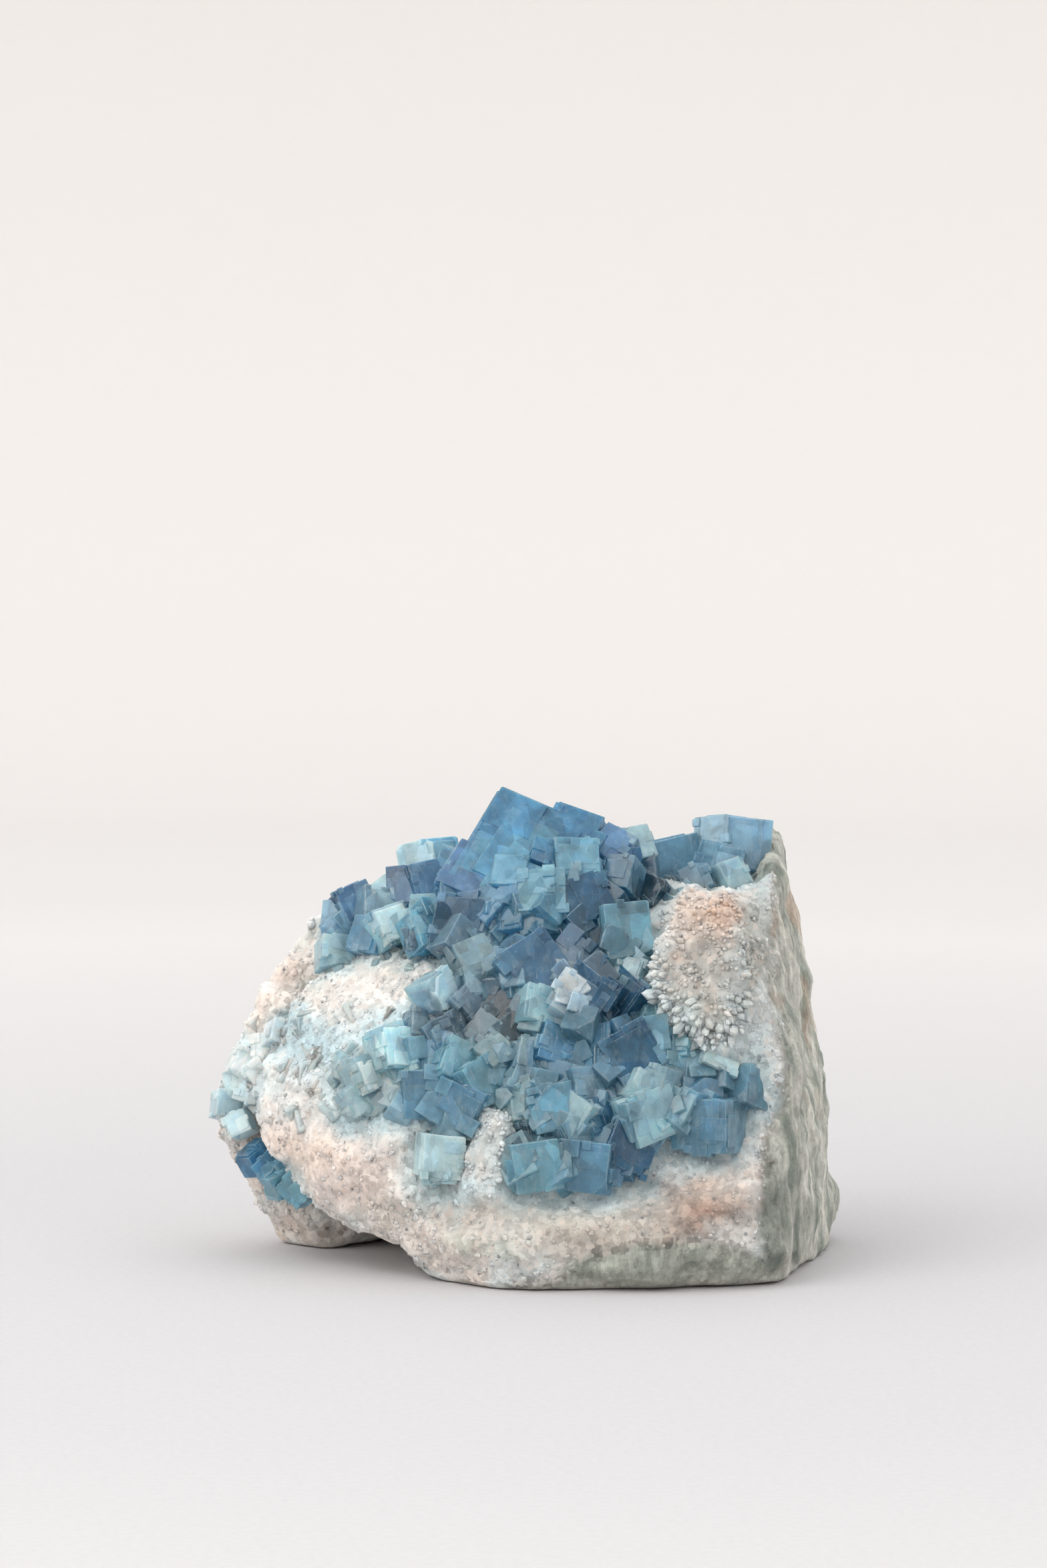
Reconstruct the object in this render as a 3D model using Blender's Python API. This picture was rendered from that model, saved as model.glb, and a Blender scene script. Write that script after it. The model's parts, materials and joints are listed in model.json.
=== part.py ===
"""Fluorite cluster: clumps of blue fluorite cubes on a block of vein quartz and green schist.

Metres, +Z up. The origin is on the flat that the block rests on, and -Y is the side with the crystals.
Every length below is in millimetres, and MM turns it into metres.
"""

import math

import bmesh
import bpy
from mathutils import Matrix, Vector, noise

MM = 0.001

# The block is a union of broken lumps, each the hull of the corners that a hand could feel on it.
LUMPS = {
    "core": [
        (-16, -26, 0), (6, -31, 0), (43, -27, 0), (52, -6, 0), (57, 22, 0), (47, 33, 0), (8, 35, 0),
        (-24, 28, 0), (-28, -14, 22), (-16, -28, 16), (4, -32.5, 18), (24, -31, 18), (38, -29, 18),
        (45, -25, 24), (-16, -22, 34), (4, -24, 34), (26, -20, 34), (44, -19, 36), (54, 16, 34),
        (48, 33, 34), (0, 37, 34), (-36, 30, 34), (-32, 6, 34), (-18, -10, 50), (4, -17, 50),
        (24, -16, 51), (43, -14, 50), (-34, 8, 55), (-18, 1, 59), (2, -8, 62), (18, -5, 61),
        (36, -6, 62), (43, 2, 67), (46, 16, 68), (40, 27, 70), (8, 29, 66), (-18, 27, 64),
        (-34, 23, 58),
    ],
    "front_ledge": [
        (-8, -31, 0), (4, -34, 0), (24, -32, 0), (45, -28, 0), (-14, -30, 3), (0, -36.5, 3),
        (20, -38, 5), (38, -35, 6), (46, -30, 6), (-16, -31, 11), (-4, -36.5, 10), (8, -37.5, 13),
        (22, -37, 16), (36, -34, 17), (44, -29, 20), (-12, -10, 12), (40, -10, 16), (-10, -10, 0),
        (40, -10, 0),
    ],
    "quartz_boss": [
        (-10, -33.5, 17), (-2, -36, 16), (-1, -35, 24), (-3, -33, 30), (-6, -32, 31), (-9, -32, 26),
        (-11, -31.5, 20), (-14, -22, 10), (4, -22, 10), (4, -20, 32), (-10, -20, 32),
    ],
    "left_slab": [
        (-35.5, -12, 9.5), (-28, -18, 7), (-16, -27, 4), (-41, -9, 14), (-46.5, -5, 22),
        (-49, -2, 29), (-47, 0, 38), (-42, 3, 47), (-36, 4, 54), (-28, 1, 57), (-19, -5, 57.5),
        (-12, -11, 54), (-29, -23, 15), (-34, -20, 23), (-24, -27, 20), (-18, -31, 14),
        (-38, -13, 34), (-22, -21.5, 36), (-15, -22.5, 40), (-14, -16, 48), (-42, 2, 28),
        (-34, 3, 14), (-20, 0, 10), (-24, 4, 52),
    ],
    "back_slab": [
        (-44, 15, 0), (-35, 7, 0), (-29, 26, 0), (-41, 26, 0), (-48, 13, 7), (-52, 11, 16),
        (-55.5, 9, 23), (-56.5, 9, 29), (-54, 10, 37), (-49, 13, 45), (-44.5, 14, 53),
        (-39, 14, 60.5), (-35, 16, 63), (-20, 8, 12), (-15, 20, 2), (-10, 12, 30), (-18, 9, 56),
        (-34, 31, 10), (-41, 30, 30), (-32, 31, 54), (-10, 34, 10),
    ],
    "back_block": [
        (-20, 33, 5), (8, 40, 3), (31, 37, 9), (27, 39, 36), (2, 41, 31), (-17, 36, 27),
        (-24, 20, 5), (36, 20, 9), (30, 20, 42), (-20, 20, 34),
    ],
    "knob": [
        (23, -24, 44), (31, -26, 40), (39, -24, 39), (45, -22, 38), (45, -23, 28), (21, -22, 50),
        (30, -26, 50), (24, -18, 59), (26, -15, 65), (31, -14, 67.5), (37, -14, 67),
        (41, -12, 63.5), (43, -12, 55), (36, -23, 58), (28, -4, 42), (40, 0, 36), (32, -4, 62),
    ],
    "schist_wall": [
        (43, -29, 0), (45, -28, 10), (46, -25, 21), (47.5, -21, 33), (45.5, -15, 45), (44, -8, 58),
        (43.5, -2, 68), (51, -8, 0), (53, 0, 8), (57, 22, 0), (57, 18, 6), (55, 20, 20),
        (55, 19, 31), (53, 18, 39), (50.5, 20, 48), (48.5, 20, 60), (47.5, 16, 69), (46.5, 27, 77),
        (43, 29, 77.5), (45, 34, 0), (46, 35, 40), (40, 32, 70),
    ],
}

# Its surface: the edge of an even face, how often its corners are softened, and the size and height of its
# chips and swells. The schist on its right shows its layers as upright ribs.
VOXEL = 1.3
SOFTEN_STEPS = 4
CHIP_SIZE, CHIP_HEIGHT, CHIP_SINK = 13, 1.8, 0.8
SWELL_SIZE, SWELL_HEIGHT = 11, 1.1
RIB_WIDTH, RIB_LENGTH, RIB_HEIGHT = 2.6, 16, 1.1
ROCK_TRIANGLES = 3700
FLOOR_CUT, CUTTER_SIDE, CUTTER_HEIGHT = 0.8, 200, 60

# Grown crystals keep this far off the rock, and off each other's clumps.
GAP = 0.3

# Corners this close after a join are one corner, in millimetres.
WELD = 0.001

# The front view: the eye, and how the face of the druse leans back and turns away from it.
EYE = Vector((0, -646, 108))
DRUSE_FOOT, DRUSE_LEAN, DRUSE_LEAN_GROWTH = -38, 0.25, 0.0032
DRUSE_MIDDLE, DRUSE_TURN = 8, 0.0045

# One row for each crystal: across and up on the upright plane through the origin as the eye sees the middle
# of its front face, how far that face stands behind the leaning front of the druse, the cube's edge, and
# its roll in the plane of view, lean back and turn in degrees.
CLUMPS = {
    "fluorite_druse": [
        # the peak: one great stepped cube and its parallel blocks
        (1.0, 70.6, 0, 21, -27, 35, 0),
        (8.6, 75.4, 0.5, 8.6, -25, 35, 0),
        (-8.6, 68.2, -0.5, 9.5, -28, 35, 0),
        (9.8, 70.6, -2.5, 7.4, -2, 34, 9),
        (15.8, 73.0, 0.5, 6.5, -32, 39, -11),
        (16.2, 68.2, -0.5, 6, -4, 28, -26),
        (11.2, 63.2, -2, 8.6, 22, 30, 6),
        (3.4, 64.6, -2.8, 8, 4, 28, -6),
        (-2.2, 68.2, -2.6, 6, -2, 34, -9),
        (-1.9, 64.6, -2.2, 5.4, -6, 34, -18),
        (4.2, 71.4, -1.8, 5, -22, 36, 13),
        (-6.6, 62.6, -1, 6, -30, 34, -22),
        (-2.6, 60.2, -0.4, 5.4, 14, 30, -35),
        (7.0, 59.8, 0, 6, -18, 30, 18),
        # the hollow right of the peak
        (20.2, 73.0, 5, 5.8, 12, 24, 18),
        (20.4, 69.4, 7, 5.6, 10, 28, -14),
        (20.4, 66.6, 6.5, 4.2, 6, 22, 31),
        (16.6, 63.4, 5.5, 6.5, 18, 28, 44),
        (21.8, 65.2, 5, 5, -20, 26, -20),
        (13.4, 57.4, 4, 6.5, -12, 24, 26),
        (18.6, 61.0, 5, 5.5, 30, 30, -13),
        # the middle of the front
        (2.6, 51.8, -1.4, 9.6, 32, 22, 10),
        (8.6, 52.2, -0.6, 8.8, -38, 22, -12),
        (10.6, 46.6, -3, 8.4, -34, 16, -8),
        (3.6, 44.6, -1.4, 6.4, -20, 22, 31),
        (17.0, 46.4, 0.4, 7.4, -28, 22, -40),
        (18.6, 58.2, -2.4, 8.6, 4, 12, 16),
        (18.6, 50.6, -0.6, 4.4, -12, 24, -22),
        (14.6, 53.2, 1.8, 5.6, 16, 28, 18),
        (17.6, 41.6, 2.4, 6, 8, 24, 0),
        (-3.4, 51.0, 0.4, 7.2, -12, 26, -31),
        (-7.8, 53.2, -0.4, 6.8, 20, 28, 22),
        (-13.2, 47.2, -1.6, 6.2, 25, 16, 44),
        (-8.4, 45.2, 0.4, 6, 33, 24, 40),
        (-3.8, 43.6, 0.8, 7, -20, 24, -26),
        (-10.4, 41.0, 0.4, 5.4, 10, 22, 53),
        (-1.0, 40.4, 0.8, 6, 35, 20, 13),
        (-13.8, 42.8, 0.2, 5.6, 28, 28, -22),
        (-16.8, 41.2, 0.2, 5, -15, 22, 26),
        # left shoulder, its purple band and the teal cubes in front of it
        (-11.2, 59.2, -0.6, 8.6, -8, 26, -8),
        (-15.8, 58.6, 1.6, 6.4, 8, 28, 31),
        (-17.2, 61.2, 4, 5.8, 3, 24, -22),
        (-22.0, 58.8, 5, 7, 15, 28, 26),
        (-27.6, 57.0, 7, 6.4, -5, 26, -31),
        (-32.0, 54.4, 9, 5.8, -10, 28, 22),
        (-13.4, 56.0, -0.4, 3.6, 4, 16, -31),
        (-18.0, 56.2, 1.6, 3.4, -6, 18, 22),
        (-6.6, 57.8, 0.8, 5, 30, 28, 35),
        (-33.0, 60.4, 12, 5.2, 4, 18, -26),
        (-28.6, 62.6, 11, 6.6, 22, 20, 18),
        (-24.6, 64.4, 11, 4.4, 38, 22, -13),
        (-24.4, 62.2, 9, 6.4, -12, 22, 26),
        (-20.2, 65.4, 9, 7.4, 10, 20, -22),
        (-15.8, 66.6, 8, 7, 12, 22, 13),
        (-30.8, 58.4, 11, 5.6, 30, 26, 35),
        # pale cubes on the left
        (-21.2, 37.0, -1.4, 7, -3, 18, 35),
        (-26.0, 32.6, -0.4, 5.8, 8, 24, 40),
        (-23.2, 29.8, 0.4, 6.4, -14, 26, -22),
        (-27.8, 28.4, 0.8, 5, 24, 22, 31),
        (-31.0, 33.4, 1.4, 4.4, -18, 26, -18),
        (-19.8, 32.4, 0.8, 5.4, 30, 20, 26),
        # blue cubes left of the middle
        (-10.6, 35.0, -0.6, 6.6, -30, 20, 31),
        (-15.4, 36.8, 0, 6.4, 15, 24, -26),
        (-4.8, 37.0, -0.6, 5.2, 45, 34, 0),
        (-0.8, 34.6, 0.6, 6.2, 12, 18, -35),
        (-16.6, 28.6, -1, 8, 0, 10, 12),
        (-11.4, 26.9, -1.8, 7.8, -24, 8, -16),
        (-6.2, 31.4, -0.6, 7, 22, 20, 40),
        (-13.2, 31.6, -0.4, 6, -8, 24, 13),
        (2.2, 36.0, 0, 5.4, -18, 24, 22),
        # the lower middle
        (5.6, 26.4, -2, 8, 12, 16, 12),
        (-1.4, 28.4, -0.4, 6.4, 20, 24, -40),
        (8.8, 25.8, -1.6, 5.4, -30, 14, -31),
        (3.6, 21.4, 0.4, 6.2, 5, 16, 40),
        (2.6, 15.9, -1.6, 8.4, 8, 4, 10),
        (10.8, 15.9, -0.8, 8.2, -5, 6, -14),
        (11.2, 21.6, 0.2, 7, 20, 16, 35),
        (6.6, 31.4, -0.4, 6.2, -8, 22, -22),
        (11.8, 30.8, -1, 5.6, 3, 18, 31),
        (6.6, 37.6, -0.2, 7, -25, 24, 26),
        (11.8, 37.4, 0.4, 7.2, 12, 20, -31),
        (15.0, 25.4, 1, 6.4, 12, 18, 44),
        (15.8, 30.2, 1.8, 5.4, -20, 22, -26),
        # the lower right
        (19.8, 36.0, -1.8, 8.8, 28, 16, 8),
        (25.2, 40.0, -0.8, 7.2, 5, 24, -26),
        (28.6, 36.6, -1, 6.4, -16, 22, 31),
        (35.6, 36.0, -1.6, 7.4, -30, 26, 26),
        (23.0, 31.6, -2.4, 4.4, -8, 14, -44),
        (31.8, 30.6, -0.8, 6.4, -12, 20, 22),
        (36.8, 30.6, -0.4, 6.4, 8, 20, -40),
        (23.4, 25.0, -2.2, 8.6, 14, 8, 28),
        (26.6, 27.0, -1.4, 6, -20, 16, -35),
        (31.4, 23.2, -2.6, 8.8, 1, 4, -24),
        (19.2, 19.2, -0.4, 8, -24, 10, 14),
        (28.2, 32.4, -1, 5, 22, 18, 18),
        # smaller ones that fill the places between
        (-12.6, 38.6, 0, 5.4, 20, 18, 20),
        (-6.8, 40.6, 0, 5, -34, 22, -18),
        (-7.4, 49.0, 0.2, 5.2, 8, 22, 22),
        (0.2, 47.4, 0.2, 5, 14, 20, -26),
        (10.8, 42.0, 0.6, 5.8, -8, 24, 18),
        (4.8, 41.0, 0.4, 5.6, 26, 20, -14),
        (15.4, 34.2, 0.6, 5.6, -10, 16, 24),
        (20.6, 44.6, 0.8, 5, 18, 20, 26),
        (24.6, 35.2, 0.6, 5, -32, 24, 16),
        (28.3, 41.5, -0.6, 4.8, 34, 26, -20),
        (32.7, 34.3, -0.7, 5, 16, 20, 22),
        (20.6, 28.0, 0.2, 5, -26, 16, -22),
        (14.6, 20.4, 0.4, 5, 28, 14, -16),
        (15.6, 15.4, 0, 4.8, -14, 8, 22),
        (7.0, 20.4, 0.2, 5, 34, 14, -20),
        (-4.4, 33.0, 0.4, 5, -16, 22, 26),
        (-20.6, 34.0, -0.8, 4.4, 26, 20, -24),
        (24.0, 45.4, 2.2, 4.6, -14, 20, 14),
        (-8.8, 31.0, -0.4, 4.6, 40, 20, -8),
        (1.0, 31.6, 0, 5, -28, 20, 16),
        (8.0, 68.0, -2.6, 4.6, 16, 26, -22),
        (-11.6, 63.6, 0, 5.4, -10, 28, 20),
        (1.4, 59.4, -0.6, 5, 24, 26, -14),
        (12.2, 67.0, -1.4, 5, -22, 26, 18),
        # the crest behind the peak
        (12.6, 72.4, 14, 8.4, 10, 8, 24),
        (5.0, 74.0, 19, 9, -16, 6, -12),
        (-3.6, 71.2, 12, 8, 14, 8, 10),
        (-12.0, 68.2, 8, 7, -18, 10, -22),
        (16.0, 70.6, 14, 7, -24, 10, 14),
        (-0.6, 71.4, 22, 7, 24, 6, 20),
        (11.6, 70.0, 23, 7, -8, 6, -26),
    ],
    "right_ridge_crystals": [
        (27.4, 69.8, 15, 8.8, 12, 10, 8),
        (32.8, 74.6, 12, 6.6, 5, 18, -26),
        (39.3, 72.8, 11, 9, -8, 14, 8),
        (34.0, 69.0, 11, 8, -14, 16, -10),
        (37.4, 67.4, 9, 5.6, 14, 24, 31),
        (30.2, 66.8, 10, 5.4, 28, 22, -18),
    ],
    "back_left_crystals": [
        (-18.6, 69.6, 22, 7, 12, 10, -18),
        (-14.0, 70.4, 23, 6.8, 4, 12, 16),
        (-10.6, 69.4, 27, 6, -14, 10, -14),
    ],
    "grey_cube": [
        (-13.8, 17.6, -1.4, 7, -6, 4, 14),
        (-15.4, 15.8, -0.6, 4.8, 18, 12, -22),
    ],
    "left_rim_crystals": [
        (-41.5, 39.6, 12, 4.6, -24, 24, 31),
        (-45.2, 37.2, 13, 4.8, 12, 22, -22),
        (-48.2, 34.4, 14, 4.6, -30, 20, 26),
        (-50.6, 31.0, 15, 4.4, 20, 18, -31),
        (-51.2, 27.2, 15, 4.6, -12, 16, 22),
        (-50.0, 23.6, 14, 4.2, 28, 14, -18),
        (-46.4, 33.0, 11, 4.2, 34, 24, 18),
        (-48.2, 29.4, 12, 4.2, -8, 22, -26),
    ],
    "seam_crystals": [
        (-45.6, 17.2, 19, 4.6, 30, 8, 40),
        (-43.6, 14.4, 18, 4.8, 38, 6, -22),
        (-41.4, 12.8, 16, 4.6, 24, 4, 31),
        (-39.4, 11.4, 15, 4, 40, 4, -26),
    ],
}

ROCK_COLOUR, ROCK_ROUGHNESS = (0.62, 0.58, 0.54), 0.8
CRYSTAL_ROUGHNESS = 0.25
CLUMP_COLOURS = {
    "fluorite_druse": (0.10, 0.27, 0.42),
    "right_ridge_crystals": (0.16, 0.33, 0.47),
    "back_left_crystals": (0.30, 0.50, 0.56),
    "grey_cube": (0.42, 0.49, 0.48),
    "left_rim_crystals": (0.40, 0.58, 0.62),
    "seam_crystals": (0.06, 0.23, 0.42),
}


def hull(name, corners):
    """A lump of rock: the convex hull of its corners, as a guide that isn't itself a piece."""
    mesh = bpy.data.meshes.new(name)
    shape = bmesh.new()
    for corner in corners:
        shape.verts.new(Vector(corner) * MM)
    bmesh.ops.convex_hull(shape, input=shape.verts)
    bmesh.ops.delete(shape, geom=[vert for vert in shape.verts if not vert.link_faces], context="VERTS")
    bmesh.ops.recalc_face_normals(shape, faces=shape.faces)
    shape.to_mesh(mesh)
    shape.free()
    return as_guide(bpy.data.objects.new(name, mesh))


def as_guide(obj):
    """Links an object that shapes another and is never rendered."""
    bpy.context.scene.collection.objects.link(obj)
    obj.hide_render = True
    obj.display_type = "WIRE"
    return obj


def boolean(obj, other, operation, solver="EXACT"):
    modifier = obj.modifiers.new(f"{operation.lower()} {other.name}", "BOOLEAN")
    modifier.object = other
    modifier.operation = operation
    modifier.solver = solver


def settled(obj):
    """Bakes an object's modifiers into its mesh."""
    bpy.context.view_layer.update()
    graph = bpy.context.evaluated_depsgraph_get()
    mesh = bpy.data.meshes.new_from_object(obj.evaluated_get(graph))
    obj.modifiers.clear()
    obj.data = mesh
    return obj


def clear_scene():
    for obj in list(bpy.data.objects):
        bpy.data.objects.remove(obj)


def weathered(point, normal):
    """How far a point of the broken rock stands proud of its lump, in millimetres."""
    nearest = noise.voronoi(point / CHIP_SIZE)[0]
    chips = CHIP_HEIGHT * (nearest[1] - nearest[0]) - CHIP_SINK
    swells = SWELL_HEIGHT * noise.fractal(point / SWELL_SIZE, 1.0, 2.0, 3)
    stretched = Vector((point.x / RIB_WIDTH, point.y / RIB_WIDTH, point.z / RIB_LENGTH))
    ribs = RIB_HEIGHT * noise.noise(stretched) * max(0.0, normal.x)
    return chips + swells + ribs


def make_rock():
    """The whole block: lumps joined, remeshed evenly, weathered, thinned out and cut flat underneath."""
    lumps = [hull(name, corners) for name, corners in LUMPS.items()]
    rock = lumps[0]
    for lump in lumps[1:]:
        boolean(rock, lump, "UNION")
    settled(rock)
    for lump in lumps[1:]:
        bpy.data.objects.remove(lump)
    remesh = rock.modifiers.new("even faces", "REMESH")
    remesh.mode = "VOXEL"
    remesh.voxel_size = VOXEL * MM
    settled(rock)

    shape = bmesh.new()
    shape.from_mesh(rock.data)
    for _ in range(SOFTEN_STEPS):
        bmesh.ops.smooth_vert(
            shape, verts=shape.verts, factor=0.5, use_axis_x=True, use_axis_y=True, use_axis_z=True
        )
    shape.normal_update()
    moves = [vert.normal * weathered(vert.co / MM, vert.normal) * MM for vert in shape.verts]
    for vert, move in zip(shape.verts, moves):
        vert.co += move
    shape.to_mesh(rock.data)
    faces = 2 * len(shape.faces)
    shape.free()

    thin = rock.modifiers.new("fewer faces", "DECIMATE")
    thin.ratio = ROCK_TRIANGLES / faces
    settled(rock)
    middle = Vector((0, 0, FLOOR_CUT - CUTTER_HEIGHT / 2))
    below = as_guide(block("below the flat", middle, CUTTER_SIDE, CUTTER_HEIGHT))
    boolean(rock, below, "DIFFERENCE")
    settled(rock)
    bpy.data.objects.remove(below)
    rock.data.transform(Matrix.Translation((0, 0, -FLOOR_CUT * MM)))
    rock.name = rock.data.name = "matrix_rock"
    rock.hide_render = False
    rock.display_type = "TEXTURED"
    return rock


def block(name, middle, side, height):
    """An upright box, in millimetres."""
    mesh = bpy.data.meshes.new(name)
    shape = bmesh.new()
    size = Matrix.Diagonal((side * MM, side * MM, height * MM, 1))
    bmesh.ops.create_cube(shape, size=1, matrix=Matrix.Translation(middle * MM) @ size)
    shape.to_mesh(mesh)
    shape.free()
    return bpy.data.objects.new(name, mesh)


def seen_at(across, up, back):
    """The point that the eye sees at a place on the upright plane, at the druse's depth there."""
    depth = DRUSE_FOOT + DRUSE_LEAN * up + DRUSE_LEAN_GROWTH * up**2
    depth += DRUSE_TURN * (across - DRUSE_MIDDLE) ** 2 + back
    on_plane = Vector((across, 0, up))
    return on_plane + (EYE - on_plane) * (-depth / -EYE.y)


def crystal(name, across, up, back, edge, roll, lean, turn):
    """One cube, its front face at the place seen and its body behind it."""
    frame = Matrix.Rotation(math.radians(turn), 4, "Z") @ Matrix.Rotation(math.radians(-lean), 4, "X")
    frame = frame @ Matrix.Rotation(math.radians(-roll), 4, "Y")
    front = Matrix.Translation(seen_at(across, up, back) * MM) @ frame
    place = front @ Matrix.Translation((0, edge / 2 * MM, 0)) @ Matrix.Diagonal((edge * MM,) * 3 + (1,))
    mesh = bpy.data.meshes.new(name)
    shape = bmesh.new()
    bmesh.ops.create_cube(shape, size=1, matrix=place)
    shape.to_mesh(mesh)
    shape.free()
    return bpy.data.objects.new(name, mesh)


def make_clump(name, rows, rock_guide):
    """One solid of intergrown cubes, cut where it meets the rock."""
    cubes = [crystal(f"{name} cube", *row) for row in rows]
    clump = cubes[0]
    bpy.context.scene.collection.objects.link(clump)
    for cube in cubes[1:]:
        boolean(clump, as_guide(cube), "UNION")
        settled(clump)
        bpy.data.objects.remove(cube)
    # EXACT loses whole clumps against a surface this rough
    boolean(clump, rock_guide, "DIFFERENCE", "MANIFOLD")
    clump.name = clump.data.name = name
    return keep_largest(settled(clump))


def keep_largest(obj):
    """Welds the corners that a cut has doubled, drops its loose chips, and keeps the one solid."""
    shape = bmesh.new()
    shape.from_mesh(obj.data)
    bmesh.ops.remove_doubles(shape, verts=shape.verts, dist=WELD * MM)
    left = set(shape.verts)
    islands = []
    while left:
        grown = [left.pop()]
        island = set(grown)
        while grown:
            for edge in grown.pop().link_edges:
                for vert in edge.verts:
                    if vert in left:
                        left.discard(vert)
                        island.add(vert)
                        grown.append(vert)
        islands.append(island)
    islands.sort(key=len)
    for island in islands[:-1]:
        print(f"{obj.name}: a loose chip of {len(island)} corners left out")
        bmesh.ops.delete(shape, geom=list(island), context="VERTS")
    shape.to_mesh(obj.data)
    shape.free()
    return obj


def finish(obj, colour, roughness):
    """Gives a piece a material of its own."""
    material = bpy.data.materials.new(obj.name)
    material.use_nodes = True
    shader = material.node_tree.nodes["Principled BSDF"]
    shader.inputs["Base Color"].default_value = (*colour, 1)
    shader.inputs["Roughness"].default_value = roughness
    shader.inputs["Metallic"].default_value = 0
    obj.data.materials.clear()
    obj.data.materials.append(material)


def main():
    clear_scene()
    rock = make_rock()
    guide = as_guide(bpy.data.objects.new("rock with its gap", rock.data.copy()))
    swell = guide.modifiers.new("gap", "DISPLACE")
    swell.mid_level = 0
    swell.strength = GAP * MM
    finish(rock, ROCK_COLOUR, ROCK_ROUGHNESS)
    for name, rows in CLUMPS.items():
        clump = make_clump(name, rows, guide)
        finish(clump, CLUMP_COLOURS[name], CRYSTAL_ROUGHNESS)
        print(name, len(clump.data.polygons), "faces")
    print(rock.name, len(rock.data.polygons), "faces")


main()
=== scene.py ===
# %% [markdown]
# # A hand-sized fluorite cluster
#
# Blue fluorite grew as cubes in an open crack of vein quartz, and the vein broke out together with a slab
# of the green schist that it ran through. What shows is one block of stone with a druse of intergrown
# cubes on its front: the quartz is sugary and white to peach, the schist stands on the right and lies
# under the foot, and the cubes run from deep violet blue at the peak to pale water blue at the left.
#
# The order here is the order of growth: the block first, then the cubes on it, then the small things that
# grew last or were left by the break, and at the end the table, the light and the camera.

# %% The frame that every piece is placed in
import json
import math
import random

import bmesh
import bpy
import numpy as np
from mathutils import Matrix, Vector, noise
from mathutils.kdtree import KDTree

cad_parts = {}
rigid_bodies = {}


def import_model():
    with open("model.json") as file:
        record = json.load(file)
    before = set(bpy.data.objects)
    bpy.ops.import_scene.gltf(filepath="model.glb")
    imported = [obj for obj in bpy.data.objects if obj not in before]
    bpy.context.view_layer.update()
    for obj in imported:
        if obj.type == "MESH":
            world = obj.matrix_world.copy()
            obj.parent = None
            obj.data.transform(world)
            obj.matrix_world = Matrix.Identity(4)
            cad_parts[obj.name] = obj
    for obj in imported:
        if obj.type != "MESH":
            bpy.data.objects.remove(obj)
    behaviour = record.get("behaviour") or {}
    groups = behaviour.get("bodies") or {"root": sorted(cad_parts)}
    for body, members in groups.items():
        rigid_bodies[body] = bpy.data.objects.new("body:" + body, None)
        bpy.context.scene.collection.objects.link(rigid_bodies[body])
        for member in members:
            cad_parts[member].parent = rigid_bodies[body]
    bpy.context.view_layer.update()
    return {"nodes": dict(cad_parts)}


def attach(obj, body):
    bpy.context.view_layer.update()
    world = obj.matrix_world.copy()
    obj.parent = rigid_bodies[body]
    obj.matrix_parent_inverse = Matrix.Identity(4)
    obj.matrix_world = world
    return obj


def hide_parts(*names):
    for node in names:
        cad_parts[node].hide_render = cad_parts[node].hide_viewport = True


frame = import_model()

MM = 0.001
print("frame:", ", ".join(sorted(frame["nodes"])))

# %% [markdown]
# A few helpers. Colours are written as they look, in 0 to 255, and turned into light values once. A shape
# is built in a bmesh and settled into an object at the origin, so its place is in its mesh.

# %% Helpers for colours, shapes and objects
def paint(red, green, blue):
    """A colour as it looks, turned into the light value that a shader mixes with."""
    parts = [part / 255 for part in (red, green, blue)]
    return tuple(part / 12.92 if part <= 0.04 else ((part + 0.055) / 1.055) ** 2.4 for part in parts)


def object_from(shape, name):
    """An object at the origin that holds the shape."""
    mesh = bpy.data.meshes.new(name)
    shape.to_mesh(mesh)
    shape.free()
    obj = bpy.data.objects.new(name, mesh)
    bpy.context.scene.collection.objects.link(obj)
    return obj


def settled(obj):
    """Bakes an object's modifiers into its mesh."""
    graph = bpy.context.evaluated_depsgraph_get()
    mesh = bpy.data.meshes.new_from_object(obj.evaluated_get(graph))
    obj.modifiers.clear()
    obj.data = mesh
    return obj


def paint_points(mesh, name, kind, values):
    """Writes one value or colour for each corner point of the mesh."""
    layer = mesh.attributes.new(name, kind, "POINT")
    field = "color" if kind == "FLOAT_COLOR" else "value"
    layer.data.foreach_set(field, np.asarray(values, np.float32).ravel())


def mixed(first, second, share):
    return tuple(a + (b - a) * share for a, b in zip(first, second))


def smoothstep(value, low, high):
    share = min(1.0, max(0.0, (value - low) / (high - low)))
    return share * share * (3 - 2 * share)


# %% [markdown]
# Places on the front are given as the eye of the camera sees them, on the upright plane through the origin:
# across and up, in millimetres. The same two numbers then say where a cube stands and where a stain lies.

# %% From the front view to places on the object
EYE = Vector((0, -646, 108))
DRUSE_FOOT, DRUSE_LEAN, DRUSE_LEAN_GROWTH = -38, 0.25, 0.0032
DRUSE_MIDDLE, DRUSE_TURN = 8, 0.0045


def seen_at(across, up, back):
    """The point that the eye sees at a place on the upright plane, at the druse's depth there."""
    depth = DRUSE_FOOT + DRUSE_LEAN * up + DRUSE_LEAN_GROWTH * up**2
    depth += DRUSE_TURN * (across - DRUSE_MIDDLE) ** 2 + back
    on_plane = Vector((across, 0, up))
    return on_plane + (EYE - on_plane) * (-depth / -EYE.y)


def on_plane(point):
    """Where the eye sees a point (in millimetres) on the upright plane: across and up."""
    share = EYE.y / (EYE.y - point.y)
    return EYE.x + (point.x - EYE.x) * share, EYE.z + (point.z - EYE.z) * share


# %% [markdown]
# ## The block
#
# The block has the shape that the frame gives it, in faces of about 5 mm. A broken stone has far finer
# relief: conchoidal chips, a sugary grain where the quartz broke between its crystals, and thin upright
# leaves on the schist. So a copy of the solid is remeshed evenly and softened, and each kind of relief is
# laid on it along the surface's own direction, with how much depending on which rock is there.

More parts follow.
